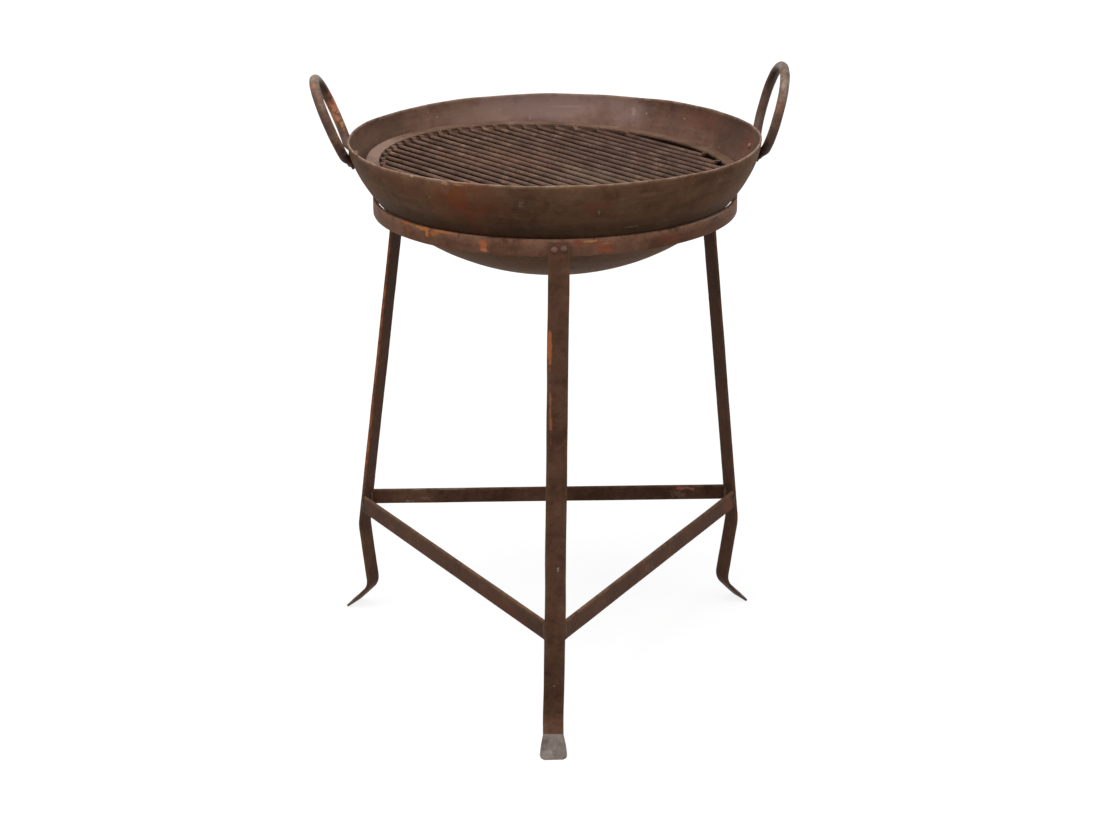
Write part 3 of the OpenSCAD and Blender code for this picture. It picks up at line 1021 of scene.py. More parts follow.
        # Marks the outer face below the toe line, for the painted highlight on the toe
        Bench.mark(bar, "toe", lambda p: (self.toe_line - run.at(p.y)[0].z) / MM if p.z > 0 else -5.0)
        Bench.shape(bar, hammer)
        run.bend(bar)
        bar.data.transform(self.place(angle))
        Bench.cut(bar, Vector((0, 0, 0.0)), Vector((0, 0, -1)))
        Bench.tidy(bar)
        dress(bar, "stand", Finish.STAND, material, [f"leg_{name}"])

    def build_ring(self, material: bpy.types.Material) -> None:
        """Turns and dresses the ring."""
        r_out, r_in = self.ring_r, self.ring_r - self.bar_t
        low, high = self.ring_top - self.ring_h, self.ring_top
        ease = 0.0012
        outline = [
            (r_out, low + ease), (r_out, (low + high) / 2), (r_out, high - ease),
            (r_out - 0.3 * ease, high - 0.3 * ease), (r_out - ease, high),
            (r_in + ease, high), (r_in + 0.3 * ease, high - 0.3 * ease), (r_in, high - ease),
            (r_in, (low + high) / 2), (r_in, low + ease),
            (r_in + 0.3 * ease, low + 0.3 * ease), (r_in + ease, low),
            (r_out - ease, low), (r_out - 0.3 * ease, low + 0.3 * ease), (r_out, low + ease),
        ]
        thing = Bench.turned("ring_rolled", outline, 240)
        top = high
        Bench.mark(thing, "edge_wear", lambda p: smooth(top - 0.0045, top - 0.0008, p.z))

        def roll(p: Vector) -> Vector:
            out = Vector((p.x, p.y, 0)).normalized()
            return p + out * ripple(out * 0.26, 0.02, 11.0) * 0.00012 + UP * ripple(out * 0.26, 0.07, 12.0) * 0.0004

        Bench.shape(thing, roll)
        thing.data.transform(Matrix.Translation(self.centre))
        Bench.tidy(thing)
        dress(thing, "stand", Finish.STAND, material, ["stand_ring"])

    def face_r(self, angle: float, z: float) -> float:
        """Reach of the inner face of a leg's long straight stretch at a height."""
        a, b = self.corners(angle)[1:3]
        run = (b - a).normalized()
        return a.x + (a.z - z) * (b.x - a.x) / (a.z - b.z) - self.bar_t / 2 / -run.z

    def face_point(self, angle: float, along: float, z: float) -> Vector:
        """A point of that face, at a distance along it from its middle."""
        r = self.face_r(angle, z)
        s = along + (self.pivot_z - z) * math.tan(self.side_angle(angle))
        a = math.radians(angle)
        return Vector((r * math.cos(a) - s * math.sin(a), r * math.sin(a) + s * math.cos(a), z))

    def build_brace(
        self, name: str, ends: tuple[str, str], top: float, height: float, material: bpy.types.Material
    ) -> None:
        """Cuts a brace bar to its mitres, welds it in and dresses it.

        Args:
            name: The brace's name.
            ends: The legs it runs from and to.
            top: Height of its top edge.
            height: Height of the bar on edge.
            material: The stand's material.
        """
        z = top - height / 2
        first, last = (self.angles[end] for end in ends)
        start = self.face_point(first, self.leg_w / 2, z) + self.centre
        end = self.face_point(last, -self.leg_w / 2, z) + self.centre
        run = (end - start).normalized()
        inward = UP.cross(run)
        spare = 0.015
        length = (end - start).length + 2 * spare
        bar = Bench.flat_bar(f"brace_{name}_cut", Vector((height, length, self.bar_t)), (6, 60), 0.0009)
        seed = first / 40.0
        self.wear(bar, height / 2, 1.0)
        Bench.mark(bar, "toe", lambda p: -5.0)
        Bench.shape(
            bar,
            lambda p: Vector((
                p.x * (1 + 0.012 * ripple(Vector((p.y, 0, 0)), 0.05, seed)),
                p.y,
                p.z + 0.0004 * ripple(Vector((p.y, 0, 0)), 0.12, seed + 1),
            )),
        )
        middle = start - run * spare + inward * self.bar_t / 2
        turn = Matrix((UP, run, -inward)).transposed().to_4x4()
        bar.data.transform(Matrix.Translation(middle) @ turn)
        welds = []
        for leg, corner, side in ((first, start, 1.0), (last, end, -1.0)):
            frame_of_leg = self.place(leg)
            a, b = self.corners(leg)[1:3]
            down = (b - a).normalized()
            normal = (frame_of_leg.to_3x3() @ Vector((-down.z, 0, down.x))).normalized()
            point = frame_of_leg @ Vector((self.face_r(leg, z) - 0.00005, 0, z))
            Bench.cut(bar, point, normal)
            for depth, size in ((self.bar_t + 0.0006, 0.0024), (-0.0002, 0.0018)):
                bead = Bench.blob("bead", Vector((size, size, height * 0.47)), seed + depth * 900, 0.35)
                edge = corner + inward * depth
                reach = (point - edge).dot(normal) / run.dot(normal)
                bead.data.transform(Matrix.Translation(edge + run * reach - run * side * -0.0004))
                welds.append(bead)
        Bench.tidy(bar)
        whole = Bench.join(f"brace_{name}_welded", [bar, *welds])
        Bench.tidy(whole, 1e-7)
        dress(whole, "stand", Finish.STAND, material, [f"brace_{name}"])

    def build_rivets(self, material: bpy.types.Material) -> None:
        """Sets the rivet pairs that hold the legs to the ring."""
        outer = self.ring_r + self.leg_gap + self.bar_t
        inner = self.ring_r - self.bar_t
        for name, angle in self.angles.items():
            heads = []
            for side in (-1, 1):
                for r, half, size in ((outer, 0.0033, 0.0046), (inner, -0.0024, 0.0036)):
                    head = Bench.blob("head", Vector((abs(half), size, size)), angle + side, 0.06)
                    head.data.transform(
                        self.place(angle)
                        @ Matrix.Translation((r, side * self.rivet_pitch / 2, self.pivot_z + side * 0.0009))
                    )
                    heads.append(head)
            pair = Bench.join(f"ring_rivet_heads_{name}", heads)
            Bench.tidy(pair, 1e-7, 60.0)
            dress(pair, "stand", Finish.STAND_RIVET, material, [f"ring_rivets_{name}"])

    def build(self, ring: bpy.types.Material, bar: bpy.types.Material, rivet: bpy.types.Material) -> None:
        """Builds the whole stand."""
        self.build_ring(ring)
        for name, angle in self.angles.items():
            self.build_leg(name, angle, bar)
        self.build_brace("left", ("left", "front"), 0.1985, 0.028, bar)
        self.build_brace("right", ("front", "right"), 0.1985, 0.028, bar)
        self.build_brace("back", ("right", "left"), 0.2015, 0.024, bar)
        self.build_rivets(rivet)


@dataclass
class Handle:
    """A loop of round bar with flattened ends, riveted to the bowl's wall."""

    name: str
    bowl: FireBowl
    turn: float
    lean: float
    twist: float
    straight: float
    stand_off: float
    loop_r: float = 0.060
    bar_r: float = 0.007
    end_sweep: float = 45.0
    rivet_drop: float = 0.027
    lug_offset: float = 0.0265
    lug_w: float = 0.020
    lug_t: float = 0.005
    gap: float = 0.00005

    @property
    def rivet_z(self) -> float:
        """Height of the rivets."""
        return self.bowl.rim_z - self.rivet_drop

    def lug_place(self, side: int) -> Matrix:
        """Where a lug's own frame lies: X out of the wall, Y along it, Z up it."""
        z = self.rivet_z
        r = self.bowl.wall_r(z)
        around = math.radians(self.turn) + side * math.asin(self.lug_offset / r)
        return (
            Matrix.Translation(self.bowl.centre)
            @ Matrix.Rotation(around, 4, "Z")
            @ Matrix.Translation((r, 0, z))
            @ Matrix.Rotation(self.bowl.wall_lean(z), 4, "Y")
        )

    def loop_place(self) -> Matrix:
        """Where the loop's own frame lies: X outwards, Y along the wall, Z up the loop."""
        z = self.rivet_z
        return (
            Matrix.Translation(self.bowl.centre)
            @ Matrix.Rotation(math.radians(self.turn), 4, "Z")
            @ Matrix.Translation((self.bowl.wall_r(z) + self.stand_off, 0, z))
            @ Matrix.Rotation(math.radians(self.twist), 4, "Z")
            @ Matrix.Rotation(math.radians(self.lean), 4, "Y")
        )

    def way(self) -> Way:
        """Path of the bar from one lug's tip round to the other's."""
        low = math.sqrt(self.loop_r ** 2 - self.lug_offset ** 2)
        loop = self.loop_place()
        half: list[tuple[Vector, float]] = []
        sweep = math.radians(self.end_sweep)
        rise = low - self.loop_r * math.sin(sweep)
        out = self.loop_r * math.cos(sweep) - self.lug_offset
        run = math.atan2(rise, out)
        halves = []
        for side in (-1, 1):
            lug = self.lug_place(side)
            wall = (lug.to_3x3() @ Vector((1, 0, 0))).normalized()
            along = (lug.to_3x3() @ Vector((0, side * math.cos(run), math.sin(run)))).normalized()
            middle = lug @ Vector((self.gap + self.lug_t / 2, 0, 0))
            half = [(middle + along * d, wall) for d in (-self.lug_w / 2, 0.0, self.lug_w * 0.45)]
            face = (loop.to_3x3() @ Vector((1, 0, 0))).normalized()
            for i in range(11):
                angle = -sweep + sweep * i / 10
                spot = Vector((0, side * self.loop_r * math.cos(angle), low + self.loop_r * math.sin(angle)))
                half.append((loop @ spot, face))
            halves.append(half)
        face = (loop.to_3x3() @ Vector((1, 0, 0))).normalized()
        top = []
        for i in range(1, 32):
            angle = math.pi * i / 32
            spot = Vector((
                0, -self.loop_r * math.cos(angle), low + self.straight + self.loop_r * math.sin(angle)
            ))
            top.append((loop @ spot, face))
        whole = halves[0] + top + list(reversed(halves[1]))
        return Way(*self.eased(whole))

    @staticmethod
    def eased(marks: Sequence[tuple[Vector, Vector]]) -> tuple[list[Vector], list[Vector]]:
        """Draws a smooth curve through marks of place and face."""
        places = []
        faces = []
        last = len(marks) - 1
        for i in range(last):
            p0 = marks[max(i - 1, 0)][0]
            p1, f1 = marks[i]
            p2, f2 = marks[i + 1]
            p3 = marks[min(i + 2, last)][0]
            parts = max(2, math.ceil((p2 - p1).length / 0.003))
            m1 = (p2 - p0) * ((p2 - p1).length / max(1e-9, (p2 - p1).length + (p1 - p0).length))
            m2 = (p3 - p1) * ((p2 - p1).length / max(1e-9, (p2 - p1).length + (p3 - p2).length))
            for k in range(parts):
                t = k / parts
                a = 2 * t ** 3 - 3 * t ** 2 + 1
                b = t ** 3 - 2 * t ** 2 + t
                c = -2 * t ** 3 + 3 * t ** 2
                d = t ** 3 - t ** 2
                places.append(p1 * a + m1 * b + p2 * c + m2 * d)
                faces.append(f1.lerp(f2, t).normalized())
        places.append(marks[-1][0])
        faces.append(marks[-1][1])
        return places, faces

    def build(self, bar: bpy.types.Material, rivet: bpy.types.Material) -> None:
        """Draws out, flattens, bends and rivets the handle."""
        way = self.way()
        thing = Bench.round_bar(f"handle_{self.name}_forged", self.bar_r, way.length, (20, 190))
        seed = 3.0 + self.turn / 60.0

        def hammer(p: Vector) -> Vector:
            tip = min(p.y, way.length - p.y)
            flat = 1.0 - smooth(self.lug_w * 0.75, self.lug_w * 1.75, tip)
            angle = math.atan2(p.z, p.x)
            c, s = math.cos(angle), math.sin(angle)
            wide = self.lug_w / 2 * math.copysign(abs(c) ** 0.6, c)
            thin = self.lug_t / 2 * math.copysign(abs(s) ** 0.45, s)
            end = self.lug_w / 2
            nose = math.sqrt(max(0.02, 1.0 - max(0.0, (end - tip) / end) ** 2))
            swell = 1.0 + 0.035 * ripple(Vector((0, p.y, angle * 0.01)), 0.02, seed)
            swell *= 1.0 + 0.03 * ripple(Vector((0, p.y, 0)), 0.06, seed + 1)
            x = (self.bar_r * c * swell) * (1 - flat) + wide * nose * flat
            z = (self.bar_r * s * swell) * (1 - flat) + thin * flat
            return Vector((x, p.y, z))

        Bench.shape(thing, hammer)
        Bench.mark(
            thing, "edge_wear",
            lambda p: 0.0 if min(p.y, way.length - p.y) > 0.03 else smooth(0.006, 0.0095, abs(p.x)),
        )
        way.bend(thing)
        Bench.tidy(thing, 1e-7, 60.0)
        dress(thing, "bowl", Finish.HANDLE, bar, [f"handle_{self.name}"])
        heads = []
        for side in (-1, 1):
            for x, tall, wide in ((self.gap * 2 + self.lug_t, 0.0036, 0.0052), (-self.bowl.sheet - 0.0001, 0.0026, 0.0040)):
                head = Bench.blob("head", Vector((tall, wide, wide)), seed + side + x, 0.07)
                head.data.transform(self.lug_place(side) @ Matrix.Translation((x, 0, 0)))
                heads.append(head)
        pair = Bench.join(f"handle_rivet_heads_{self.name}", heads)
        Bench.tidy(pair, 1e-7, 60.0)
        dress(pair, "bowl", Finish.HANDLE_RIVET, rivet, [f"handle_rivets_{self.name}"])


@dataclass
class Grate:
    """The lift-out grate: a flat ring with round rods across it, lying a little tipped in the bowl."""

    bowl: FireBowl
    plate_r: float = 0.274582
    plate_w: float = 0.019
    plate_t: float = 0.004
    middle_z: float = 0.775892
    tip_right: float = 2.7
    tip_front: float = 0.55
    rod_r: float = 0.0045
    rod_count: int = 25
    rod_margin: float = 0.018
    rod_drop: float = 0.007
    bend_r: float = 0.006
    rod_turn: float = -46.3
    touch: float = 0.00005

    def place(self) -> Matrix:
        """Where the plate's own frame lies: its top in the XY plane."""
        return (
            Matrix.Translation(self.bowl.centre + UP * self.middle_z)
            @ Matrix.Rotation(math.radians(self.tip_right), 4, "Y")
            @ Matrix.Rotation(math.radians(self.tip_front), 4, "X")
        )

    def build_plate(self, material: bpy.types.Material) -> None:
        """Cuts and dresses the flat ring."""
        r_out, r_in, t, e = self.plate_r, self.plate_r - self.plate_w, self.plate_t, 0.0008
        third = self.plate_w / 3
        outline = [
            (r_in + e, 0.0), (r_in + third, 0.0), (r_out - third, 0.0), (r_out - e, 0.0),
            (r_out - 0.3 * e, -0.3 * e), (r_out, -e), (r_out, -t + e), (r_out - e, -t),
            (r_in + e, -t), (r_in, -t + e), (r_in, -e), (r_in + 0.3 * e, -0.3 * e), (r_in + e, 0.0),
        ]
        thing = Bench.turned("grate_plate_cut", outline, 220)
        Bench.mark(
            thing, "edge_wear",
            lambda p: smooth(0.0016, 0.0004, min(p.xy.length - r_in, r_out - p.xy.length)),
        )
        Bench.shape(thing, lambda p: p + UP * 0.00035 * ripple(p, 0.05, 21.0))
        thing.data.transform(self.place())
        Bench.tidy(thing)
        dress(thing, "grate", Finish.PLATE, material, ["grate_plate"])

    def build_rods(self, material: bpy.types.Material) -> None:
        """Bends and dresses the rods, each with its ends welded to the plate's inner edge."""
        inner = self.plate_r - self.plate_w
        end_r = inner - self.rod_r - self.touch
        pitch = 2 * (inner - self.rod_margin) / (self.rod_count - 1)
        turn = Matrix.Rotation(math.radians(self.rod_turn), 4, "Z")
        for i in range(1, self.rod_count + 1):
            offset = (i - (self.rod_count + 1) / 2) * pitch
            reach = math.sqrt(end_r ** 2 - offset ** 2)
            corners = [
                Vector((-reach, offset, -0.0006)), Vector((-reach, offset, -self.rod_drop)),
                Vector((reach, offset, -self.rod_drop)), Vector((reach, offset, -0.0006)),
            ]
            path = evenly(rounded(corners, (self.bend_r, self.bend_r), 8), 0.02)
            way = Way(path, [Vector((0, 1, 0))] * len(path))
            rod = Bench.round_bar(f"grate_rod_{i:02d}_bent", self.rod_r, way.length, (14, 64))
            seed = i * 0.37
            Bench.shape(
                rod,
                lambda p: Vector((
                    p.x * (1 + 0.03 * ripple(Vector((0, p.y, 0)), 0.03, seed))
                    + 0.0007 * ripple(Vector((0, p.y, 0)), 0.12, seed + 5),
                    p.y,
                    p.z * (1 + 0.03 * ripple(Vector((0, p.y, 0)), 0.03, seed + 2))
                    + 0.0005 * ripple(Vector((0, p.y, 0)), 0.14, seed + 7),
                )),
            )
            way.bend(rod)
            # Painted shade over soot: darkens each rod's lower side, leaving only its crest light
            Bench.mark(rod, "soot_and_shade", lambda p: smooth(0.75 * self.rod_r, -0.1 * self.rod_r, p.z + self.rod_drop))
            Bench.tidy(rod, 1e-7, 50.0)
            parts = [rod]
            for side in (-1, 1):
                weld = Vector((side * reach, offset, 0.0)).normalized() * (end_r + self.rod_r)
                bead = Bench.blob("bead", Vector((0.0026, 0.0026, 0.0017)), seed + side, 0.3)
                bead.data.transform(Matrix.Translation(weld - UP * 0.0012))
                Bench.tidy(bead, 1e-7, 60.0)
                parts.append(bead)
            whole = Bench.join(f"grate_rod_{i:02d}_welded", parts)
            whole.data.transform(self.place() @ turn)
            dress(whole, "grate", Finish.ROD, material, [f"grate_rod_{i:02d}"])

    def build(self, plate: bpy.types.Material, rod: bpy.types.Material) -> None:
        """Builds the whole grate."""
        self.build_plate(plate)
        self.build_rods(rod)


@dataclass
class Studio:
    """A pale floor, soft light and the photograph's camera."""

    centre: Vector
    eye: Vector = field(default_factory=lambda: Vector((-0.06142, -3.35831, 1.58836)))
    pitch: float = 19.596
    yaw: float = 0.880
    roll: float = -0.429
    lens: float = 77.143

    def camera(self) -> None:
        """Sets the camera as the photograph was taken."""
        pitch, yaw, roll = (math.radians(a) for a in (self.pitch, self.yaw, self.roll))
        ahead = Vector((math.sin(yaw) * math.cos(pitch), math.cos(yaw) * math.cos(pitch), -math.sin(pitch)))
        right = ahead.cross(UP).normalized()
        above = right.cross(ahead)
        right, above = (
            right * math.cos(roll) + above * math.sin(roll),
            above * math.cos(roll) - right * math.sin(roll),
        )
        lens = bpy.data.cameras.new("camera")
        lens.lens = self.lens
        lens.sensor_width = 36.0
        lens.sensor_fit = "HORIZONTAL"
        lens.clip_start = 0.05
        lens.clip_end = 60.0
        eye = bpy.data.objects.new("camera", lens)
        eye.matrix_world = Matrix.Translation(self.centre + self.eye) @ Matrix(
            (right, above, -ahead)
        ).transposed().to_4x4()
        bpy.context.scene.collection.objects.link(eye)
        bpy.context.scene.camera = eye

    def floor(self) -> None:
        """Lays the pale floor."""
        Bench.clear()
        bpy.ops.mesh.primitive_plane_add(size=60.0, location=(0, 0, 0))
        thing = Bench.named("floor")
        material = bpy.data.materials.new("pale_floor")
        material.use_nodes = True
        sheet = Sheet(material.node_tree)
        material.node_tree.nodes.remove(material.node_tree.nodes["Principled BSDF"])
        paint = sheet.add("ShaderNodeBsdfDiffuse")
        paint.inputs["Color"].default_value = (0.28, 0.28, 0.28, 1.0)
        glow = sheet.add("ShaderNodeEmission")
        path = sheet.add("ShaderNodeLightPath")
        seen = sheet.math("MAXIMUM", path.outputs["Is Camera Ray"], path.outputs["Is Glossy Ray"])
        seen = sheet.math("MAXIMUM", seen, path.outputs["Is Transmission Ray"])
        place = sheet.add("ShaderNodeTexCoord").outputs["Object"]
        away = sheet.add("ShaderNodeVectorMath", operation="LENGTH")
        sheet.join(place, away.inputs[0])
        far = sheet.band(away.outputs["Value"], 0.9, 3.2)
        level = sheet.math("ADD", sheet.math("MULTIPLY", far, 0.12), 0.85)
        sheet.join(sheet.math("MULTIPLY", seen, level), glow.inputs["Strength"])
        both = sheet.add("ShaderNodeAddShader")
        sheet.join(paint.outputs[0], both.inputs[0])
        sheet.join(glow.outputs[0], both.inputs[1])
        sheet.join(both.outputs[0], material.node_tree.nodes["Material Output"].inputs["Surface"])
        thing.data.materials.append(material)

    def world(self) -> None:
        """Fills the air with soft white light, and shows white behind the object."""
        world = bpy.data.worlds.new("studio")
        bpy.context.scene.world = world
        world.use_nodes = True
        sheet = Sheet(world.node_tree)
        ground = world.node_tree.nodes["Background"]
        ground.inputs["Color"].default_value = (1.0, 1.0, 1.0, 1.0)
        path = sheet.add("ShaderNodeLightPath")
        seen = sheet.math("MAXIMUM", path.outputs["Is Camera Ray"], path.outputs["Is Glossy Ray"])
        seen = sheet.math("MAXIMUM", seen, path.outputs["Is Transmission Ray"])
        level = sheet.math("ADD", sheet.math("MULTIPLY", seen, 0.68), 0.32)
        sheet.join(level, ground.inputs["Strength"])

    def lamp(self, name: str, place: Vector, size: float, watts: float) -> None:
        """Hangs a soft lamp that points at the bowl.

        Args:
            name: The lamp's name.
            place: Where it hangs.
            size: Its width, in metres.
            watts: Its power.
        """
        light = bpy.data.lights.new(name, "AREA")
        light.shape = "SQUARE"
        light.size = size
        light.energy = watts
        thing = bpy.data.objects.new(name, light)
        target = self.centre + Vector((0, 0, 0.55))
        turn = (target - place).to_track_quat("-Z", "Y")
        thing.matrix_world = Matrix.Translation(place) @ turn.to_matrix().to_4x4()
        bpy.context.scene.collection.objects.link(thing)

    def build(self) -> None:
        """Builds the whole studio."""
        bpy.context.scene.view_settings.view_transform = "Standard"
        self.camera()
        self.floor()
        self.world()
        self.lamp("softbox_above", Vector((-0.3, -0.7, 3.0)), 2.2, 62.0)
        self.lamp("softbox_left", Vector((-2.6, -1.6, 1.6)), 1.6, 6.0)
        self.lamp("softbox_right", Vector((2.6, -1.4, 1.8)), 1.6, 9.0)


BOWL_SPOTS = (
    Spot((-130, -262, 784), (44, 36, 32), "884630", 0.7, 1.6),
    Spot((-140, -262, 794), (18, 16, 22), "98502E", 0.5, 1.0),
    Spot((-155, -257, 814), (9, 9, 3), "BC9478", 0.85, 0.25),
    Spot((-136, -267, 814), (10, 10, 2), "BA8258", 0.9, 0.25),
    Spot((-199, -224, 816), (4, 4, 2), "DCC8B6", 0.9, 0.2),
    Spot((52, -289, 789), (22, 12, 6), "8A4E3A", 0.6, 0.6),
    Spot((47, -286, 777), (14, 10, 4), "84483A", 0.6, 0.6),
    Spot((54, -283, 777), (1.6, 6, 3.5), "B09A86", 0.7, 0.4),
    Spot((-52, -290, 792), (4, 8, 9), "94806C", 0.4, 0.4),
    Spot((122, -270, 798), (20, 18, 4), "946C5A", 0.5, 0.8),
    Spot((222, -196, 799), (4, 4, 4), "A08878", 0.5, 0.3),
    Spot((99, -251, 749), (11, 8, 1.6), "9C8A76", 0.5, 0.5),
    Spot((-205, -212, 800), (50, 50, 22), "7F4C38", 0.35, 0.7),
)
RING_SPOTS = (
    Spot((-213, -160, 734), (17, 18, 3), "D07E4C", 0.9, 0.2),
    Spot((-190, -186, 733), (18, 18, 3.5), "DC8C52", 0.9, 0.2),
    Spot((-182, -195, 728), (4, 4, 7), "DC8C4C", 0.9, 0.2),
    Spot((-172, -204, 729), (8, 8, 5), "CC7A42", 0.8, 0.2),
    Spot((-156, -216, 734), (26, 20, 3), "D48A58", 0.9, 0.2),
    Spot((-209, -165, 725), (5, 5, 5), "B5652E", 0.6, 0.25),
    Spot((-103, -245, 724), (7, 7, 11), "C8744C", 0.95, 0.2),
    Spot((-101, -245, 716), (6, 6, 3), "DC9A68", 0.8, 0.2),
    Spot((42, -262, 732), (15, 9, 2.5), "D8925E", 0.8, 0.2),
    Spot((64, -258, 727), (9, 9, 1.6), "D0905C", 0.8, 0.2),
    Spot((60, -259, 724), (16, 9, 8), "A8573A", 0.6, 0.25),
    Spot((66, -258, 717), (10, 9, 3), "B8643E", 0.7, 0.2),
    Spot((26, -265, 730), (9, 9, 6), "9A4C36", 0.7, 0.3),
    Spot((151, -219, 722), (22, 18, 8), "8A4C38", 0.5, 0.4),
    # Painted highlight: a pale band along the ring's top edge on the right
    Spot((215, -160, 735), (50, 60, 2.2), "B09A88", 0.85, 0.5),
)
BAR_SPOTS = (
    Spot((0, -275, 722), (17, 8, 17), "845248", 0.55, 0.9),
    Spot((-8, -275, 736), (4, 6, 4), "9A4A3A", 0.8, 0.3),
    Spot((13, -275, 733), (3, 6, 8), "94503C", 0.6, 0.3),
    Spot((205, 174, 197), (20, 12, 4), "C07C68", 0.8, 0.3),
    Spot((198, 174, 187), (12, 12, 8), "8E7062", 0.5, 0.3),
    Spot((-209, 174, 186), (11, 12, 4), "8E7868", 0.5, 0.3),
    Spot((-178, 176, 201), (54, 12, 1.4), "9C8C7C", 0.8, 0.5),
    Spot((-237, 174, 181), (10, 12, 3), "A08C78", 0.6, 0.3),
    Spot((-75, -225, 175), (60, 90, 12), "6E3E2E", 0.6, 1.2),
    Spot((274, 146, 182), (26, 40, 14), "8A5444", 0.6, 0.6),
    Spot((130, -101, 182), (16, 26, 9), "84695A", 0.5, 0.5),
    Spot((20, -290, 174), (8, 14, 5), "9C8462", 0.5, 0.3),
    Spot((-5, -330, 277), (2, 8, 4), "B0A090", 0.8, 0.3),
    Spot((-12, -340, 100), (2.5, 10, 3), "A89484", 0.8, 0.3),
    Spot((-14, -287, 590), (3, 8, 44), "B86A40", 0.9, 0.3),
    Spot((-14, -298, 500), (2.4, 10, 60), "A86444", 0.8, 0.4),
)
PLATE_SPOTS = (
    Spot((-262, 60, 787), (40, 90, 14), "8E7466", 0.7, 1.0),
    Spot((-240, -90, 786), (60, 70, 20), "4C3428", 0.7, 1.0),
)
ROD_SPOTS = (
    Spot((150, 120, 770), (170, 170, 40), "362620", 0.4, 1.6),
    Spot((-80, 40, 780), (90, 70, 30), "7A5444", 0.3, 1.4),
    Spot((60, -60, 775), (60, 60, 30), "7E6A5A", 0.3, 1.4),
)
HANDLE_SPOTS = (
    # Painted highlights: pale grey along the top of the left handle's loop
    Spot((-344, 4, 906), (22, 26, 12), "94887C", 0.8, 1.0),
    Spot((-342, -32, 892), (18, 16, 16), "857468", 0.7, 0.8),
    Spot((-330, 52, 866), (14, 12, 26), "AC6850", 0.85, 0.4),
    Spot((-322, 54, 846), (12, 12, 22), "CC8662", 0.9, 0.3),
    Spot((-314, 54, 824), (10, 12, 14), "BC8046", 0.85, 0.3),
    Spot((-343, -37, 897), (6, 9, 10), "B8663A", 0.7, 0.35),
    Spot((-326, -64, 862), (6, 8, 7), "94504A", 0.7, 0.35),
    Spot((-315, -64, 832), (8, 9, 10), "B56A2C", 0.8, 0.3),
    # Painted shade: near black where the left handle's lower end and lug lie against the wall
    Spot((-309, -60, 818), (12, 16, 14), "4A2418", 0.7, 0.5),
    Spot((-302, -48, 800), (16, 24, 14), "3A1E16", 0.85, 0.5),
    # Painted highlights: pale grey along the top of the right handle's loop
    Spot((331, 20, 910), (20, 34, 10), "8E8276", 0.75, 1.0),
    Spot((329, -30, 888), (12, 18, 24), "9C8576", 0.8, 1.0),
    Spot((322, -42, 858), (10, 12, 20), "8E6654", 0.7, 0.6),
    Spot((325, 58, 896), (10, 14, 12), "4A362C", 0.6, 0.6),
    # Painted shade: near black where the right handle's lower end and lug lie against the wall
    Spot((308, -36, 812), (12, 14, 16), "35221A", 0.8, 0.5),
    Spot((300, -24, 792), (14, 20, 14), "2E1C16", 0.9, 0.5),
)
INNER_SPOTS = (
    # Painted sheen: a lighter lilac band across the back of the inner wall, where the light reflects
    Spot((30, 290, 798), (190, 60, 26), "8A7068", 0.75, 1.0),
    Spot((-150, 250, 796), (110, 60, 24), "7E6254", 0.6, 1.0),
    Spot((275, 80, 790), (70, 130, 32), "482F22", 0.85, 1.6),
    Spot((-278, 60, 792), (60, 120, 32), "4E3527", 0.75, 1.6),
    Spot((285, 50, 792), (20, 26, 18), "6E3828", 0.6, 0.45),
    Spot((226, 184, 800), (50, 60, 16), "6E4234", 0.5, 0.6),
    Spot((30, 288, 798), (30, 30, 1.3), "A08E88", 0.35, 1.4),
    Spot((128, 262, 797), (4, 6, 10), "A08E88", 0.5, 0.4),
    Spot((-272, 105, 795), (30, 40, 16), "74503F", 0.35, 0.8),
)


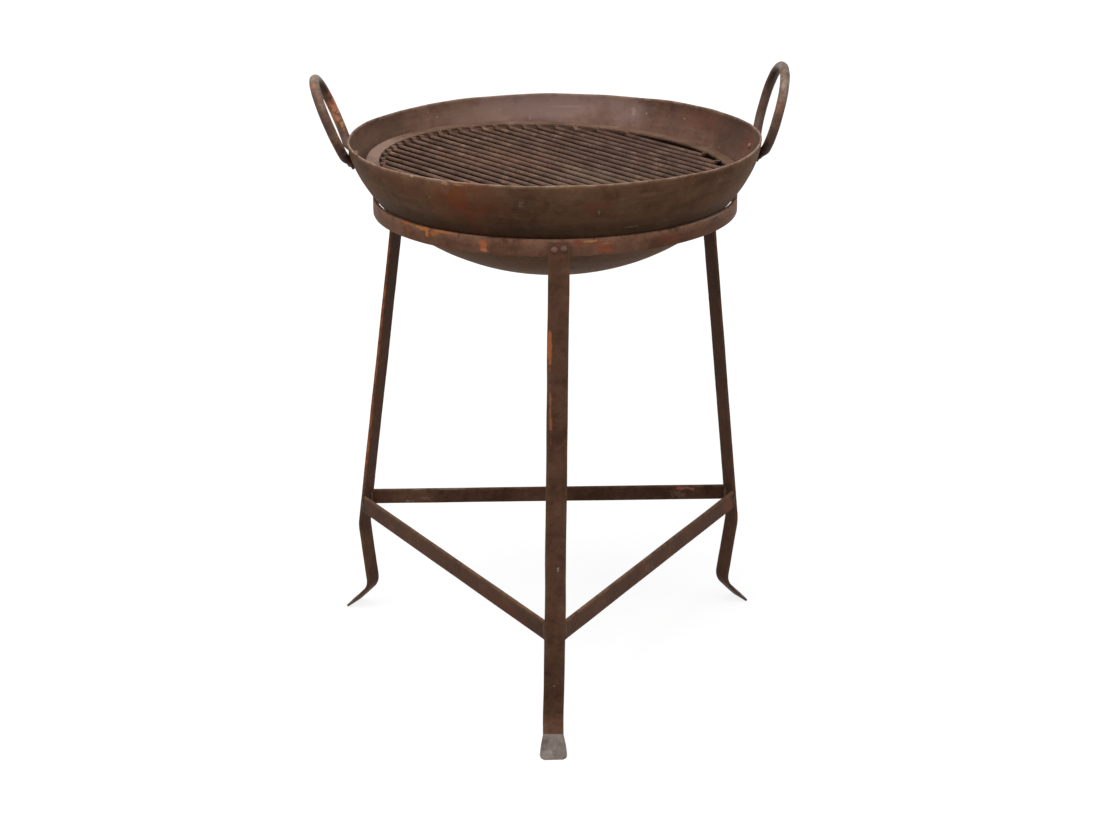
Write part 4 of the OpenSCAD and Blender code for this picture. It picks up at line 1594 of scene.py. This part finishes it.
def finishes(patina: Patina, centre: Vector) -> dict[str, bpy.types.Material]:
    """Builds the materials of the fire bowl."""
    steels = [
        Steel(
            "sheet", Tones("5F422F", "795841", "8E6C50", 0.03), Tones("4A2F21", "624436", "7E5C4A", 0.24),
            scale=9.0, soot_and_shade="2E2118", streaks=0.14, rust_amount=0.05, edge_rust=0.1, edge_tone="A88B78",
            flecks=0.01, fleck_scale=140.0, bump=0.2, spots=BOWL_SPOTS + INNER_SPOTS,
        ),
        Steel(
            "ring", Tones("684633", "825C48", "98715C", 0.08),
            scale=16.0, rust_amount=0.08, edge_rust=0.28, edge_tone="B8886E", spots=RING_SPOTS,
        ),
        Steel(
            "bar", Tones("4E3527", "654737", "7A5946", 0.06),
            # toe: painted highlight on the toes' outer faces
            toe=Tones("6E635B", "8C8078", "A89E96"), scale=16.0, rust_amount=0.05, edge_rust=0.46, rust_tones=("7A4430", "C87C54"),
            edge_tone="907058", spots=BAR_SPOTS,
        ),
        Steel("ring_rivet", Tones("6E5046", "866658", "9C7C70", 0.12), scale=60.0),
        Steel(
            "round_bar", Tones("493427", "634A3C", "836A5A", 0.25),
            scale=26.0, rust_amount=0.12, edge_rust=0.1, spots=HANDLE_SPOTS,
        ),
        Steel("handle_rivet", Tones("6E5444", "8A6C5C", "A48A7C", 0.2), scale=60.0),
        Steel(
            "plate", Tones("54402F", "6A5042", "826858", 0.15),
            scale=20.0, rust_amount=0.04, flecks=0.02, spots=PLATE_SPOTS,
        ),
        Steel(
            "rod", spots=ROD_SPOTS, outer=Tones("442D1D", "5E4436", "836756", 0.14),
            soot_and_shade="18110D", scale=40.0, rust_amount=0.03, flecks=0.03, fleck_scale=420.0, fleck_tone="A08A7A",
            roughness=(0.4, 0.6), bump=0.4,
        ),
    ]
    return {steel.name: steel.build(patina, centre) for steel in steels}


def main() -> None:
    """Builds the fire bowl's looks and the studio around it."""
    logging.basicConfig(level=logging.INFO, format="%(message)s")
    low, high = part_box("stand_ring")
    centre = (low + high) / 2
    centre.z = 0.0
    Studio(centre).build()
    metal = finishes(Patina(), centre)
    bowl = FireBowl(centre)
    bowl.build(metal["sheet"])
    Stand(centre).build(metal["ring"], metal["bar"], metal["ring_rivet"])
    for handle in (
        Handle("left", bowl, 181.0, 22.0, 0.0, 0.0105, 0.0045),
        Handle("right", bowl, 3.0, 15.0, 0.0, 0.013, 0.0055),
    ):
        handle.build(metal["round_bar"], metal["handle_rivet"])
    Grate(bowl).build(metal["plate"], metal["rod"])


if __name__ == "__main__":
    main()
